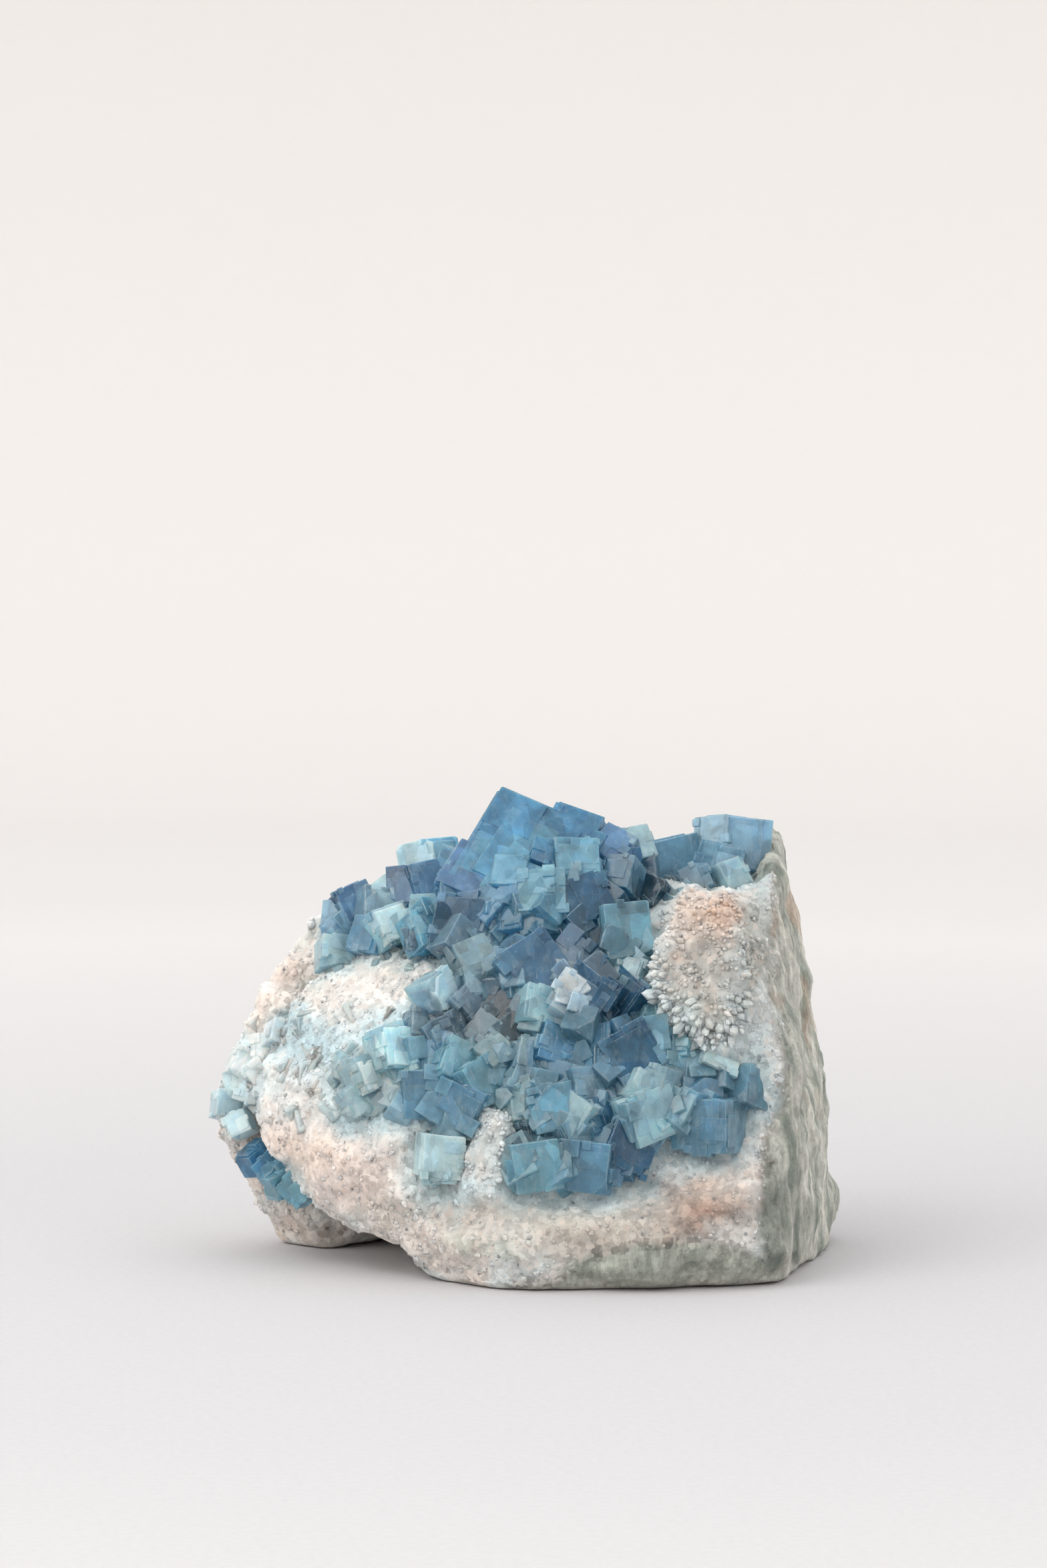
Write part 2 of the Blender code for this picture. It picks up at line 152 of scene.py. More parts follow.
# %% The two rocks and where each one is
SCHIST_EDGE = [
    (-8, 42.5), (1.4, 42), (11, 42.2), (21, 42.2), (27, 44.6), (33.6, 46.2), (39.5, 46), (46, 43.6),
    (56, 43.6), (68, 43.9), (80, 46),
]
SCHIST_FOOT = [(-60, -30), (-2, -8), (6, -4.6), (12, 0.2), (20, 2.4), (34, 2.2), (40, 0.6), (60, -2)]


def along(table, value):
    """Reads a line given as (place, height) pairs."""
    return float(np.interp(value, [row[0] for row in table], [row[1] for row in table]))


def schist_share(point, normal):
    """How far a point of the block (millimetres) is schist: the right wall, the foot and the underside."""
    across, up = on_plane(point)
    wobble = 1.3 * noise.noise(point / 6) + 0.5 * noise.noise(point / 1.6)
    wall = smoothstep(across + wobble - along(SCHIST_EDGE, up), -0.7, 0.9)
    if point.y > 5:
        wall = max(wall, smoothstep(point.x + 2.5 * wobble - 40, -3, 3))
    foot = smoothstep(along(SCHIST_FOOT, across) - up + wobble, -0.8, 1.0) if point.y < -8 else 0.0
    under = smoothstep(-normal.z, 0.55, 0.8) * smoothstep(point.x, -12, 4) * smoothstep(9 - point.z, 0, 4)
    seam = smoothstep(abs(point.z - 21 - 0.12 * point.x + 3 * noise.noise(point / 14)), 5.5, 3.2)
    seam *= smoothstep(point.y, 22, 28) * smoothstep(noise.noise(point / 19 + Vector((4, 0, 0))), -0.3, 0.1)
    seam *= smoothstep(point.x + 6 * noise.noise(point / 5), -30, -14)
    return max(wall, foot, under, 0.8 * seam)


# %% The relief of the block
BLOCK_VOXEL, BLOCK_SOFTENING = 0.7, 6
LARGE_CHIP, SMALL_CHIP, SUGAR = 6.5, 2.7, 1.3


def chips(point, size):
    """Flat broken faces that meet in ridges: 0 on a ridge to about 1 in the middle of a face."""
    nearest = noise.voronoi(point / size)[0]
    return min(1.0, 1.6 * (nearest[1] - nearest[0]))


def relief(point, schist):
    """How far the broken surface stands proud of the softened block, in millimetres."""
    warped = point + 1.4 * noise.noise_vector(point / 5)
    quartz = 0.75 * (chips(warped, LARGE_CHIP) - 0.5) + 0.2 * (chips(warped, SMALL_CHIP) - 0.5)
    quartz += 0.4 * noise.fractal(point / 9, 1.0, 2.0, 2) + 0.08 * noise.noise(point / SUGAR)
    upright = Vector((point.x / 2.2, point.y / 2.2, point.z / 16))
    leaves = 0.16 * noise.noise(upright) + 0.12 * noise.noise(upright * 2.7)
    leaves += 0.7 * noise.fractal(point / 9, 1.0, 2.0, 3) + 0.08 * noise.noise(point / 1.1)
    splinter = Vector((warped.x, warped.y, 0.4 * warped.z))
    leaves += 0.45 * (chips(warped, LARGE_CHIP) - 0.5) + 0.3 * (chips(splinter, SMALL_CHIP) - 0.5)
    return quartz * (1 - schist) + leaves * schist


solid = frame["nodes"]["matrix_rock"]
block_shape = bmesh.new()
block_shape.from_mesh(solid.data)
bmesh.ops.remove_doubles(block_shape, verts=block_shape.verts, dist=0.001 * MM)
block = object_from(block_shape, "quartz_and_schist_block")
remesh = block.modifiers.new("even faces", "REMESH")
remesh.mode = "VOXEL"
remesh.voxel_size = BLOCK_VOXEL * MM
settled(block)

block_shape = bmesh.new()
block_shape.from_mesh(block.data)
for _ in range(BLOCK_SOFTENING):
    bmesh.ops.smooth_vert(
        block_shape, verts=block_shape.verts, factor=0.5, use_axis_x=True, use_axis_y=True, use_axis_z=True
    )
block_shape.normal_update()
print("block:", len(block_shape.verts), "points")

# %% [markdown]
# ## The fluorite cubes
#
# Each row stands for one cube of a clump, at the same place as in the solids: across and up of the middle
# of its front face as the eye sees it, how far it stands behind the leaning front, its edge, and its roll,
# lean and turn in degrees. Lengths are in millimetres.

# %% The cubes of each clump
CLUMPS = {
    "fluorite_druse": [
        (1.0, 70.6, 0, 21, -27, 35, 0), (8.6, 75.4, 0.5, 8.6, -25, 35, 0),
        (-8.6, 68.2, -0.5, 9.5, -28, 35, 0), (9.8, 70.6, -2.5, 7.4, -2, 34, 9),
        (15.8, 73.0, 0.5, 6.5, -32, 39, -11), (16.2, 68.2, -0.5, 6, -4, 28, -26),
        (11.2, 63.2, -2, 8.6, 22, 30, 6), (3.4, 64.6, -2.8, 8, 4, 28, -6),
        (-2.2, 68.2, -2.6, 6, -2, 34, -9), (-1.9, 64.6, -2.2, 5.4, -6, 34, -18),
        (4.2, 71.4, -1.8, 5, -22, 36, 13), (-6.6, 62.6, -1, 6, -30, 34, -22),
        (-2.6, 60.2, -0.4, 5.4, 14, 30, -35), (7.0, 59.8, 0, 6, -18, 30, 18),
        (20.2, 73.0, 5, 5.8, 12, 24, 18), (20.4, 69.4, 7, 5.6, 10, 28, -14),
        (20.4, 66.6, 6.5, 4.2, 6, 22, 31), (16.6, 63.4, 5.5, 6.5, 18, 28, 44),
        (21.8, 65.2, 5, 5, -20, 26, -20), (13.4, 57.4, 4, 6.5, -12, 24, 26),
        (18.6, 61.0, 5, 5.5, 30, 30, -13), (2.6, 51.8, -1.4, 9.6, 32, 22, 10),
        (8.6, 52.2, -0.6, 8.8, -38, 22, -12), (10.6, 46.6, -3, 8.4, -34, 16, -8),
        (3.6, 44.6, -1.4, 6.4, -20, 22, 31), (17.0, 46.4, 0.4, 7.4, -28, 22, -40),
        (18.6, 58.2, -2.4, 8.6, 4, 12, 16), (18.6, 50.6, -0.6, 4.4, -12, 24, -22),
        (14.6, 53.2, 1.8, 5.6, 16, 28, 18), (17.6, 41.6, 2.4, 6, 8, 24, 0),
        (-3.4, 51.0, 0.4, 7.2, -12, 26, -31), (-7.8, 53.2, -0.4, 6.8, 20, 28, 22),
        (-13.2, 47.2, -1.6, 6.2, 25, 16, 44), (-8.4, 45.2, 0.4, 6, 33, 24, 40),
        (-3.8, 43.6, 0.8, 7, -20, 24, -26), (-10.4, 41.0, 0.4, 5.4, 10, 22, 53),
        (-1.0, 40.4, 0.8, 6, 35, 20, 13), (-13.8, 42.8, 0.2, 5.6, 28, 28, -22),
        (-16.8, 41.2, 0.2, 5, -15, 22, 26), (-11.2, 59.2, -0.6, 8.6, -8, 26, -8),
        (-15.8, 58.6, 1.6, 6.4, 8, 28, 31), (-17.2, 61.2, 4, 5.8, 3, 24, -22),
        (-22.0, 58.8, 5, 7, 15, 28, 26), (-27.6, 57.0, 7, 6.4, -5, 26, -31),
        (-32.0, 54.4, 9, 5.8, -10, 28, 22), (-13.4, 56.0, -0.4, 3.6, 4, 16, -31),
        (-18.0, 56.2, 1.6, 3.4, -6, 18, 22), (-6.6, 57.8, 0.8, 5, 30, 28, 35),
        (-33.0, 60.4, 12, 5.2, 4, 18, -26), (-28.6, 62.6, 11, 6.6, 22, 20, 18),
        (-24.6, 64.4, 11, 4.4, 38, 22, -13), (-24.4, 62.2, 9, 6.4, -12, 22, 26),
        (-20.2, 65.4, 9, 7.4, 10, 20, -22), (-15.8, 66.6, 8, 7, 12, 22, 13),
        (-30.8, 58.4, 11, 5.6, 30, 26, 35), (-21.2, 37.0, -1.4, 7, -3, 18, 35),
        (-26.0, 32.6, -0.4, 5.8, 8, 24, 40), (-23.2, 29.8, 0.4, 6.4, -14, 26, -22),
        (-27.8, 28.4, 0.8, 5, 24, 22, 31), (-31.0, 33.4, 1.4, 4.4, -18, 26, -18),
        (-19.8, 32.4, 0.8, 5.4, 30, 20, 26), (-10.6, 35.0, -0.6, 6.6, -30, 20, 31),
        (-15.4, 36.8, 0, 6.4, 15, 24, -26), (-4.8, 37.0, -0.6, 5.2, 45, 34, 0),
        (-0.8, 34.6, 0.6, 6.2, 12, 18, -35), (-16.6, 28.6, -1, 8, 0, 10, 12),
        (-11.4, 26.9, -1.8, 7.8, -24, 8, -16), (-6.2, 31.4, -0.6, 7, 22, 20, 40),
        (-13.2, 31.6, -0.4, 6, -8, 24, 13), (2.2, 36.0, 0, 5.4, -18, 24, 22),
        (5.6, 26.4, -2, 8, 12, 16, 12), (-1.4, 28.4, -0.4, 6.4, 20, 24, -40),
        (8.8, 25.8, -1.6, 5.4, -30, 14, -31), (3.6, 21.4, 0.4, 6.2, 5, 16, 40),
        (2.6, 15.9, -1.6, 8.4, 8, 4, 10), (10.8, 15.9, -0.8, 8.2, -5, 6, -14),
        (11.2, 21.6, 0.2, 7, 20, 16, 35), (6.6, 31.4, -0.4, 6.2, -8, 22, -22),
        (11.8, 30.8, -1, 5.6, 3, 18, 31), (6.6, 37.6, -0.2, 7, -25, 24, 26),
        (11.8, 37.4, 0.4, 7.2, 12, 20, -31), (15.0, 25.4, 1, 6.4, 12, 18, 44),
        (15.8, 30.2, 1.8, 5.4, -20, 22, -26), (19.8, 36.0, -1.8, 8.8, 28, 16, 8),
        (25.2, 40.0, -0.8, 7.2, 5, 24, -26), (28.6, 36.6, -1, 6.4, -16, 22, 31),
        (35.6, 36.0, -1.6, 7.4, -30, 26, 26), (23.0, 31.6, -2.4, 4.4, -8, 14, -44),
        (31.8, 30.6, -0.8, 6.4, -12, 20, 22), (36.8, 30.6, -0.4, 6.4, 8, 20, -40),
        (23.4, 25.0, -2.2, 8.6, 14, 8, 28), (26.6, 27.0, -1.4, 6, -20, 16, -35),
        (31.4, 23.2, -2.6, 8.8, 1, 4, -24), (19.2, 19.2, -0.4, 8, -24, 10, 14),
        (28.2, 32.4, -1, 5, 22, 18, 18), (-12.6, 38.6, 0, 5.4, 20, 18, 20),
        (-6.8, 40.6, 0, 5, -34, 22, -18), (-7.4, 49.0, 0.2, 5.2, 8, 22, 22),
        (0.2, 47.4, 0.2, 5, 14, 20, -26), (10.8, 42.0, 0.6, 5.8, -8, 24, 18),
        (4.8, 41.0, 0.4, 5.6, 26, 20, -14), (15.4, 34.2, 0.6, 5.6, -10, 16, 24),
        (20.6, 44.6, 0.8, 5, 18, 20, 26), (24.6, 35.2, 0.6, 5, -32, 24, 16),
        (28.3, 41.5, -0.6, 4.8, 34, 26, -20), (32.7, 34.3, -0.7, 5, 16, 20, 22),
        (20.6, 28.0, 0.2, 5, -26, 16, -22), (14.6, 20.4, 0.4, 5, 28, 14, -16),
        (15.6, 15.4, 0, 4.8, -14, 8, 22), (7.0, 20.4, 0.2, 5, 34, 14, -20),
        (-4.4, 33.0, 0.4, 5, -16, 22, 26), (-20.6, 34.0, -0.8, 4.4, 26, 20, -24),
        (24.0, 45.4, 2.2, 4.6, -14, 20, 14), (-8.8, 31.0, -0.4, 4.6, 40, 20, -8),
        (1.0, 31.6, 0, 5, -28, 20, 16), (8.0, 68.0, -2.6, 4.6, 16, 26, -22),
        (-11.6, 63.6, 0, 5.4, -10, 28, 20), (1.4, 59.4, -0.6, 5, 24, 26, -14),
        (12.2, 67.0, -1.4, 5, -22, 26, 18), (12.6, 72.4, 14, 8.4, 10, 8, 24),
        (5.0, 74.0, 19, 9, -16, 6, -12), (-3.6, 71.2, 12, 8, 14, 8, 10),
        (-12.0, 68.2, 8, 7, -18, 10, -22), (16.0, 70.6, 14, 7, -24, 10, 14),
        (-0.6, 71.4, 22, 7, 24, 6, 20), (11.6, 70.0, 23, 7, -8, 6, -26),
    ],
    "right_ridge_crystals": [
        (27.4, 69.8, 15, 8.8, 12, 10, 8), (32.8, 74.6, 12, 6.6, 5, 18, -26),
        (39.3, 72.8, 11, 9, -8, 14, 8), (34.0, 69.0, 11, 8, -14, 16, -10),
        (37.4, 67.4, 9, 5.6, 14, 24, 31), (30.2, 66.8, 10, 5.4, 28, 22, -18),
    ],
    "back_left_crystals": [
        (-18.6, 69.6, 22, 7, 12, 10, -18), (-14.0, 70.4, 23, 6.8, 4, 12, 16),
        (-10.6, 69.4, 27, 6, -14, 10, -14),
    ],
    "grey_cube": [(-13.8, 17.6, -1.4, 7, -6, 4, 14), (-15.4, 15.8, -0.6, 4.8, 18, 12, -22)],
    "left_rim_crystals": [
        (-41.5, 39.6, 12, 4.6, -24, 24, 31), (-45.2, 37.2, 13, 4.8, 12, 22, -22),
        (-48.2, 34.4, 14, 4.6, -30, 20, 26), (-50.6, 31.0, 15, 4.4, 20, 18, -31),
        (-51.2, 27.2, 15, 4.6, -12, 16, 22), (-50.0, 23.6, 14, 4.2, 28, 14, -18),
        (-46.4, 33.0, 11, 4.2, 34, 24, 18), (-48.2, 29.4, 12, 4.2, -8, 22, -26),
    ],
    "seam_crystals": [
        (-45.6, 17.2, 19, 4.6, 30, 8, 40), (-43.6, 14.4, 18, 4.8, 38, 6, -22),
        (-41.4, 12.8, 16, 4.6, 24, 4, 31), (-39.4, 11.4, 15, 4, 40, 4, -26),
        (-44.6, 15.8, 18.2, 4.2, 43, 7, 8), (-42.6, 13.7, 16.8, 4.2, 42, 6, 8),
        (-40.5, 12.1, 15.2, 4, 44, 5, 4),
    ],
}

# %% [markdown]
# The cubes differ in colour from place to place, as growth zones do: violet blue at the peak and on the
# left shoulder, teal below it, sky blue at the pale left cubes, grey mauve left of the middle where the
# crystals hold dust, and one broken white crystal in the middle. A cube takes mostly the colour and
# milkiness of the nearest row of the table, and a few cubes have their own.

# %% Colours of the druse, by place
DEEP, VIOLET, SLATE = paint(84, 148, 184), paint(112, 150, 186), paint(110, 158, 184)
# the darkened teal is the crystals' own teal with painted shade, for the hollow under the peak right of the
# middle
TEAL, TEAL_IN_PAINTED_SHADE, PALE_TEAL = paint(140, 194, 212), paint(30, 72, 94), paint(194, 224, 230)
SKY, AQUA, MAUVE = paint(178, 224, 240), paint(210, 233, 237), paint(116, 136, 150)
GREEN_GREY, WHITE, SMOKE = paint(166, 194, 200), paint(226, 234, 234), paint(48, 68, 80)
NAVY, INDIGO, ICE = paint(50, 104, 138), paint(70, 118, 156), paint(156, 194, 214)
SKY_WHITE = paint(206, 240, 252)
OWN_COLOURS = {
    # (across, up) of a cube's row: colour, milkiness
    (10.6, 46.6): (NAVY, 0.25), (-21.2, 37.0): (SKY, 0.5), (-13.2, 47.2): (SKY_WHITE, 0.8),
    (-22.0, 58.8): (SKY, 0.8), (-26.0, 32.6): (SKY_WHITE, 0.8), (-23.2, 29.8): (SKY_WHITE, 0.7),
}
DRUSE_COLOURS = [
    # across, up, colour, milkiness
    (1, 72, DEEP, 0.12), (8.6, 75.4, DEEP, 0.2), (-8.6, 68.2, VIOLET, 0.15), (9.8, 70.6, TEAL, 0.3),
    (15.8, 73, VIOLET, 0.2), (16.2, 68.2, SLATE, 0.25), (11.2, 63.2, NAVY, 0.1), (3.4, 64.6, TEAL, 0.3),
    (-2.2, 68.2, TEAL, 0.25), (-1.9, 63, DEEP, 0.2), (20.2, 73, PALE_TEAL, 0.5),
    (20.4, 68, TEAL_IN_PAINTED_SHADE, 0.1), (16.6, 63.4, TEAL_IN_PAINTED_SHADE, 0.05), (21.8, 65.2, TEAL_IN_PAINTED_SHADE, 0.05),
    (13.4, 57.4, TEAL_IN_PAINTED_SHADE, 0.08), (2.6, 52.5, INDIGO, 0.15), (8.6, 52.2, NAVY, 0.2),
    (8.8, 47.4, WHITE, 0.95), (13.6, 45.6, NAVY, 0.2), (10.4, 42.4, SLATE, 0.2), (3.6, 44.6, SKY, 0.5),
    (17, 46.4, NAVY, 0.2), (18.6, 58.2, TEAL, 0.4), (18.6, 50.6, PALE_TEAL, 0.7),
    (14.6, 53.2, TEAL_IN_PAINTED_SHADE, 0.1), (-3.4, 51, SLATE, 0.3), (-7.8, 53.2, GREEN_GREY, 0.5),
    (-13.2, 47.2, SKY_WHITE, 0.75), (-8.4, 45.2, MAUVE, 0.3), (-3.8, 43.6, SMOKE, 0.1),
    (-10.4, 41, MAUVE, 0.5), (-1, 40.4, SMOKE, 0.15), (-15, 42, MAUVE, 0.5), (-11.2, 59.2, NAVY, 0.15),
    (-15.8, 58.6, TEAL, 0.35), (-17.2, 61.2, TEAL, 0.3), (-22, 58.8, PALE_TEAL, 0.7),
    (-27.6, 57, SLATE, 0.2), (-32, 54.4, PALE_TEAL, 0.4), (-13.4, 56, MAUVE, 0.5),
    (-18, 56.2, MAUVE, 0.5), (-33, 60.4, ICE, 0.3), (-28.6, 62.6, INDIGO, 0.2),
    (-24.6, 65, PALE_TEAL, 0.6), (-20.2, 65.4, INDIGO, 0.15), (-15.8, 66.6, INDIGO, 0.15),
    (-21.2, 37, SKY, 0.8), (-26, 32.6, AQUA, 0.8), (-23.2, 29.8, AQUA, 0.8), (-31, 33.4, AQUA, 0.9),
    (-19.8, 32.4, SKY, 0.6), (-10.6, 35, TEAL, 0.45), (-15.4, 36.8, SLATE, 0.3),
    (-4.8, 37, GREEN_GREY, 0.6), (-0.8, 34.6, SLATE, 0.35), (-16.6, 28.6, SLATE, 0.3),
    (-11.4, 26.9, SLATE, 0.35), (-6.2, 31.4, TEAL, 0.3), (2.2, 36, GREEN_GREY, 0.5),
    (5.6, 26.4, TEAL, 0.7), (-1.4, 28.4, GREEN_GREY, 0.8), (8.8, 25.8, PALE_TEAL, 0.7),
    (3.6, 21.4, SMOKE, 0.5), (2.6, 15.9, TEAL, 0.5), (10.8, 15.9, SLATE, 0.25), (11.2, 21.6, SLATE, 0.3),
    (6.6, 31.4, SLATE, 0.3), (6.6, 37.6, DEEP, 0.25), (11.8, 37.4, SLATE, 0.2), (15, 25.4, NAVY, 0.15),
    (19.8, 36, NAVY, 0.15), (25.2, 40, TEAL, 0.3), (28.6, 36.6, TEAL, 0.3), (35.6, 36, PALE_TEAL, 0.7),
    (23, 31.6, PALE_TEAL, 0.6), (31.8, 30.6, SLATE, 0.3), (36.8, 30.6, SLATE, 0.4), (23.4, 25, SKY, 0.5),
    (31.4, 23.2, SLATE, 0.4), (19.2, 19.2, NAVY, 0.1), (14, 72, DEEP, 0.2), (0, 73.6, DEEP, 0.15),
    (27.4, 69.8, SLATE, 0.35), (32.8, 74.6, ICE, 0.35), (39.4, 72.8, ICE, 0.4), (34, 69, SLATE, 0.3),
    (37.4, 67.4, PALE_TEAL, 0.6), (-18.6, 69.6, PALE_TEAL, 0.6), (-12, 70, TEAL, 0.5),
    (-13.8, 17.6, PALE_TEAL, 0.9), (-15.4, 15.8, GREEN_GREY, 0.9), (-45.2, 37.2, WHITE, 0.9),
    (-50.6, 31, AQUA, 0.9), (-50, 24, AQUA, 0.8), (-46.4, 33, WHITE, 0.9), (-46.4, 17.2, DEEP, 0.1),
    (-41, 12.6, TEAL, 0.2),
]
druse_places = KDTree(len(DRUSE_COLOURS))
for index, row in enumerate(DRUSE_COLOURS):
    druse_places.insert((row[0], row[1], 0), index)
druse_places.balance()
NEIGHBOURS, FALL_OFF = 5, 0.9
print(len(DRUSE_COLOURS), "places with a colour")


def druse_colour(across, up):
    """The colour and milkiness of the crystals at a place on the front: mostly the nearest row's."""
    total, colour, milk = 0.0, [0.0, 0.0, 0.0], 0.0
    for _, index, far in druse_places.find_n((across, up, 0), NEIGHBOURS):
        share = 1 / (far + FALL_OFF) ** 3
        row = DRUSE_COLOURS[index]
        total += share
        colour = [part + share * other for part, other in zip(colour, row[2])]
        milk += share * row[3]
    return tuple(part / total for part in colour), milk / total


# %% [markdown]
# A fluorite cube is never one clean box. It grows in steps: thin plates lie on its faces, each with its own
# square outline, smaller cubes share its edges, blocks along its rim break its outline, and blocks inside
# it are turned by a few degrees. Some corners are cleaved off, and in the main druse small fillers stand in
# the gaps. All of them are boxes with a narrow worn bevel, and one union makes each clump a single closed
# skin, so light that goes into it meets no wall inside. Every face carries its colour, its milkiness and
# how worn it is.

# %% One block of a crystal
NARROW_BEVEL, WIDE_BEVEL = 0.08, 0.2


def box_at(place, size, bevel, colour, milk, collection, cleaved=()):
    """A bevelled box, its faces marked with their colour and wear. A cleaved corner is a sign for each axis
    and how far in the cut goes."""
    shape = bmesh.new()
    tint = shape.faces.layers.float_color.new("tint")
    cloud = shape.faces.layers.float.new("milk")
    worn = shape.faces.layers.float.new("wear")
    bmesh.ops.create_cube(shape, size=1, matrix=Matrix.Diagonal((*size, 1)))
    for sign, inward in cleaved:
        corner = Vector([part * extent / 2 for part, extent in zip(sign, size)])
        slope = Vector(sign).normalized()
        cut = bmesh.ops.bisect_plane(
            shape, geom=shape.verts[:] + shape.edges[:] + shape.faces[:], dist=0.0001,
            plane_co=corner - slope * inward, plane_no=slope, clear_outer=True,
        )
        rim = [part for part in cut["geom_cut"] if isinstance(part, bmesh.types.BMEdge)]
        bmesh.ops.contextual_create(shape, geom=rim)
    bmesh.ops.transform(shape, matrix=place, verts=shape.verts)
    made = bmesh.ops.bevel(
        shape, geom=shape.edges[:], offset=bevel, offset_type="OFFSET", affect="EDGES", segments=1,
        profile=0.5, material=-1, clamp_overlap=True,
    )
    narrow = set(made["faces"])
    for face in shape.faces:
        face[tint] = (*colour, 1)
        face[cloud] = milk
        face[worn] = 1.0 if face in narrow else 0.0
    obj = object_from(shape, "growth block")
    bpy.context.scene.collection.objects.unlink(obj)
    collection.objects.link(obj)


def varied(colour, rng, amount=0.12):
    """The colour a little lighter or darker, and a little greener or bluer."""
    light = 1 + rng.uniform(-amount, amount)
    turn = rng.uniform(-0.06, 0.06)
    return tuple(min(1.0, part * light * (1 + shift)) for part, shift in zip(colour, (turn, 0, -turn)))


def stretched(rng):
    """A cube is never quite square: a few percent of stretch and slant."""
    slant = Matrix.Identity(4)
    for axis in range(3):
        slant[axis][axis] = 1 + rng.uniform(-0.05, 0.05)
        slant[axis][(axis + 1) % 3] = rng.uniform(-0.05, 0.05)
    return slant


# %% One crystal with its growth steps
LARGE_CUBE, PLATE = 12, 1.2
# how much of a block's colour comes from where it is, and how many corners a cube may lose
LOCAL_SHARE, CLEAVED_CORNERS = 0.6, [0, 1, 1, 2, 2, 3, 3]
# fillers stand below this line, and under the foot height they stand above their cube
FILL_EDGE = [(-36, 52), (-26, 57), (-14, 60), (-6, 62), (6, 66), (14, 66), (24, 64), (40, 40)]
FILL_FOOT, FILLERS, FILLED_CLUMP = 26, 4, "blue_fluorite_druse"


def fills_at(across, up):
    """Whether fillers may stand here: below the crest, so that they leave the outline as it is."""
    return up < along(FILL_EDGE, across)


def grow_cube(row, rng, collection, filler=False):
    """Adds one cube of the druse with its plates, its edge cubes, its rim blocks and its turned inner
    blocks. A filler is a plain small cube in the gap between others."""
    across, up, back, edge, roll, lean, turn = row
    half = edge / 2
    colour, milk = OWN_COLOURS.get((across, up)) or druse_colour(across, up)
    colour = varied(colour, rng)
    turned = Matrix.Rotation(math.radians(turn), 4, "Z") @ Matrix.Rotation(math.radians(-lean), 4, "X")
    turned = turned @ Matrix.Rotation(math.radians(-roll), 4, "Y")
    middle = Matrix.Translation(seen_at(across, up, back)) @ turned @ Matrix.Translation((0, half, 0))

    def add(centre, size, bevel, milkiness, tilt=0.0):
        here, cloud = druse_colour(*on_plane(middle @ Vector(centre)))
        shade = mixed(colour, here, LOCAL_SHARE)
        milkiness += LOCAL_SHARE * (cloud - milk)
        twist = Matrix.Identity(4)
        if tilt:
            axis = Vector([rng.uniform(-1, 1) for _ in range(3)]).normalized()
            twist = Matrix.Rotation(math.radians(rng.uniform(-tilt, tilt)), 4, axis)
        box_at(middle @ Matrix.Translation(centre) @ twist, size, bevel, varied(shade, rng, 0.07),
               min(1.0, max(0.0, milkiness)), collection)

    corners = [(-1, -1, -1), (1, -1, -1), (-1, -1, 1), (1, -1, 1), (-1, 1, 1), (1, 1, 1)]
    rng.shuffle(corners)
    cut_off = 0 if edge >= LARGE_CUBE else rng.choice(CLEAVED_CORNERS)
    cleaved = [(sign, edge * rng.uniform(0.07, 0.34)) for sign in corners[:cut_off]]
    box_at(middle @ stretched(rng), (edge, edge, edge), rng.uniform(NARROW_BEVEL, WIDE_BEVEL), colour, milk,
           collection, cleaved)
    if filler:
        return
    # thin plates on the front, the top and the two sides
    for _ in range(3 + int(edge / 3.2)):
        axis, side = rng.choice([(1, -1), (1, -1), (2, 1), (2, 1), (0, -1), (0, 1)])
        proud = rng.uniform(0.07, 0.06 + 0.02 * edge)
        centre, size = [0.0, 0.0, 0.0], [0.0, 0.0, 0.0]
        for k in range(3):
            if k == axis:
                size[k] = PLATE
                centre[k] = side * (half - PLATE / 2 + proud)
            else:
                size[k] = edge * rng.uniform(0.25, 0.8)
                reach = half - size[k] / 2 - rng.uniform(-0.05, 0.25)
                centre[k] = rng.choice([-1, 1, rng.uniform(-1, 1)]) * reach
        add(centre, size, rng.uniform(0.05, 0.12), milk + rng.uniform(-0.1, 0.12))
    # small cubes that share its edges
    for _ in range(2 + int(edge / 4) if edge < LARGE_CUBE else 0):
        small = min(edge * rng.uniform(0.14, 0.3), rng.uniform(0.9, 2.2))
        free = rng.choice([0, 1, 2])
        centre = [rng.choice([-1, 1]) * (half - small * rng.uniform(0.2, 0.42)) for _ in range(3)]
        centre[1] = -abs(centre[1])
        centre[free] = rng.uniform(-0.9, 0.9) * half
        add(centre, (small, small, small), rng.uniform(0.05, 0.1), milk + rng.uniform(-0.1, 0.25), tilt=5)
    # blocks that grew along its rim and break its square outline
    for _ in range(2 + int(edge / 3.2) if edge < LARGE_CUBE and fills_at(across, up) else 0):
        small = edge * rng.uniform(0.22, 0.46)
        reach = half - small * rng.uniform(0.12, 0.42)
        centre = [rng.choice([-1, 1]) * reach, 0.0, rng.uniform(-1, 1) * reach]
        if rng.random() < 0.5:
            centre[0], centre[2] = centre[2], centre[0]
        centre[1] = small / 2 - half - rng.uniform(-0.7, 0.35)
        size = [small * rng.uniform(0.8, 1.25) for _ in range(3)]
        add(centre, size, rng.uniform(0.05, 0.12), milk + rng.uniform(-0.15, 0.25), tilt=11)
    # blocks inside it that are turned by a few degrees and just break the faces
    for _ in range(1 + int(edge / 7)):
        size = [edge * rng.uniform(0.5, 0.93) for _ in range(3)]
        centre = [rng.uniform(-1, 1) * (half - extent / 2 + 0.1) for extent in size]
        centre[1] = -(half - size[1] / 2) - rng.uniform(0.0, 0.2)
        add(centre, size, rng.uniform(0.06, 0.14), milk + rng.uniform(-0.08, 0.1), tilt=3.5)


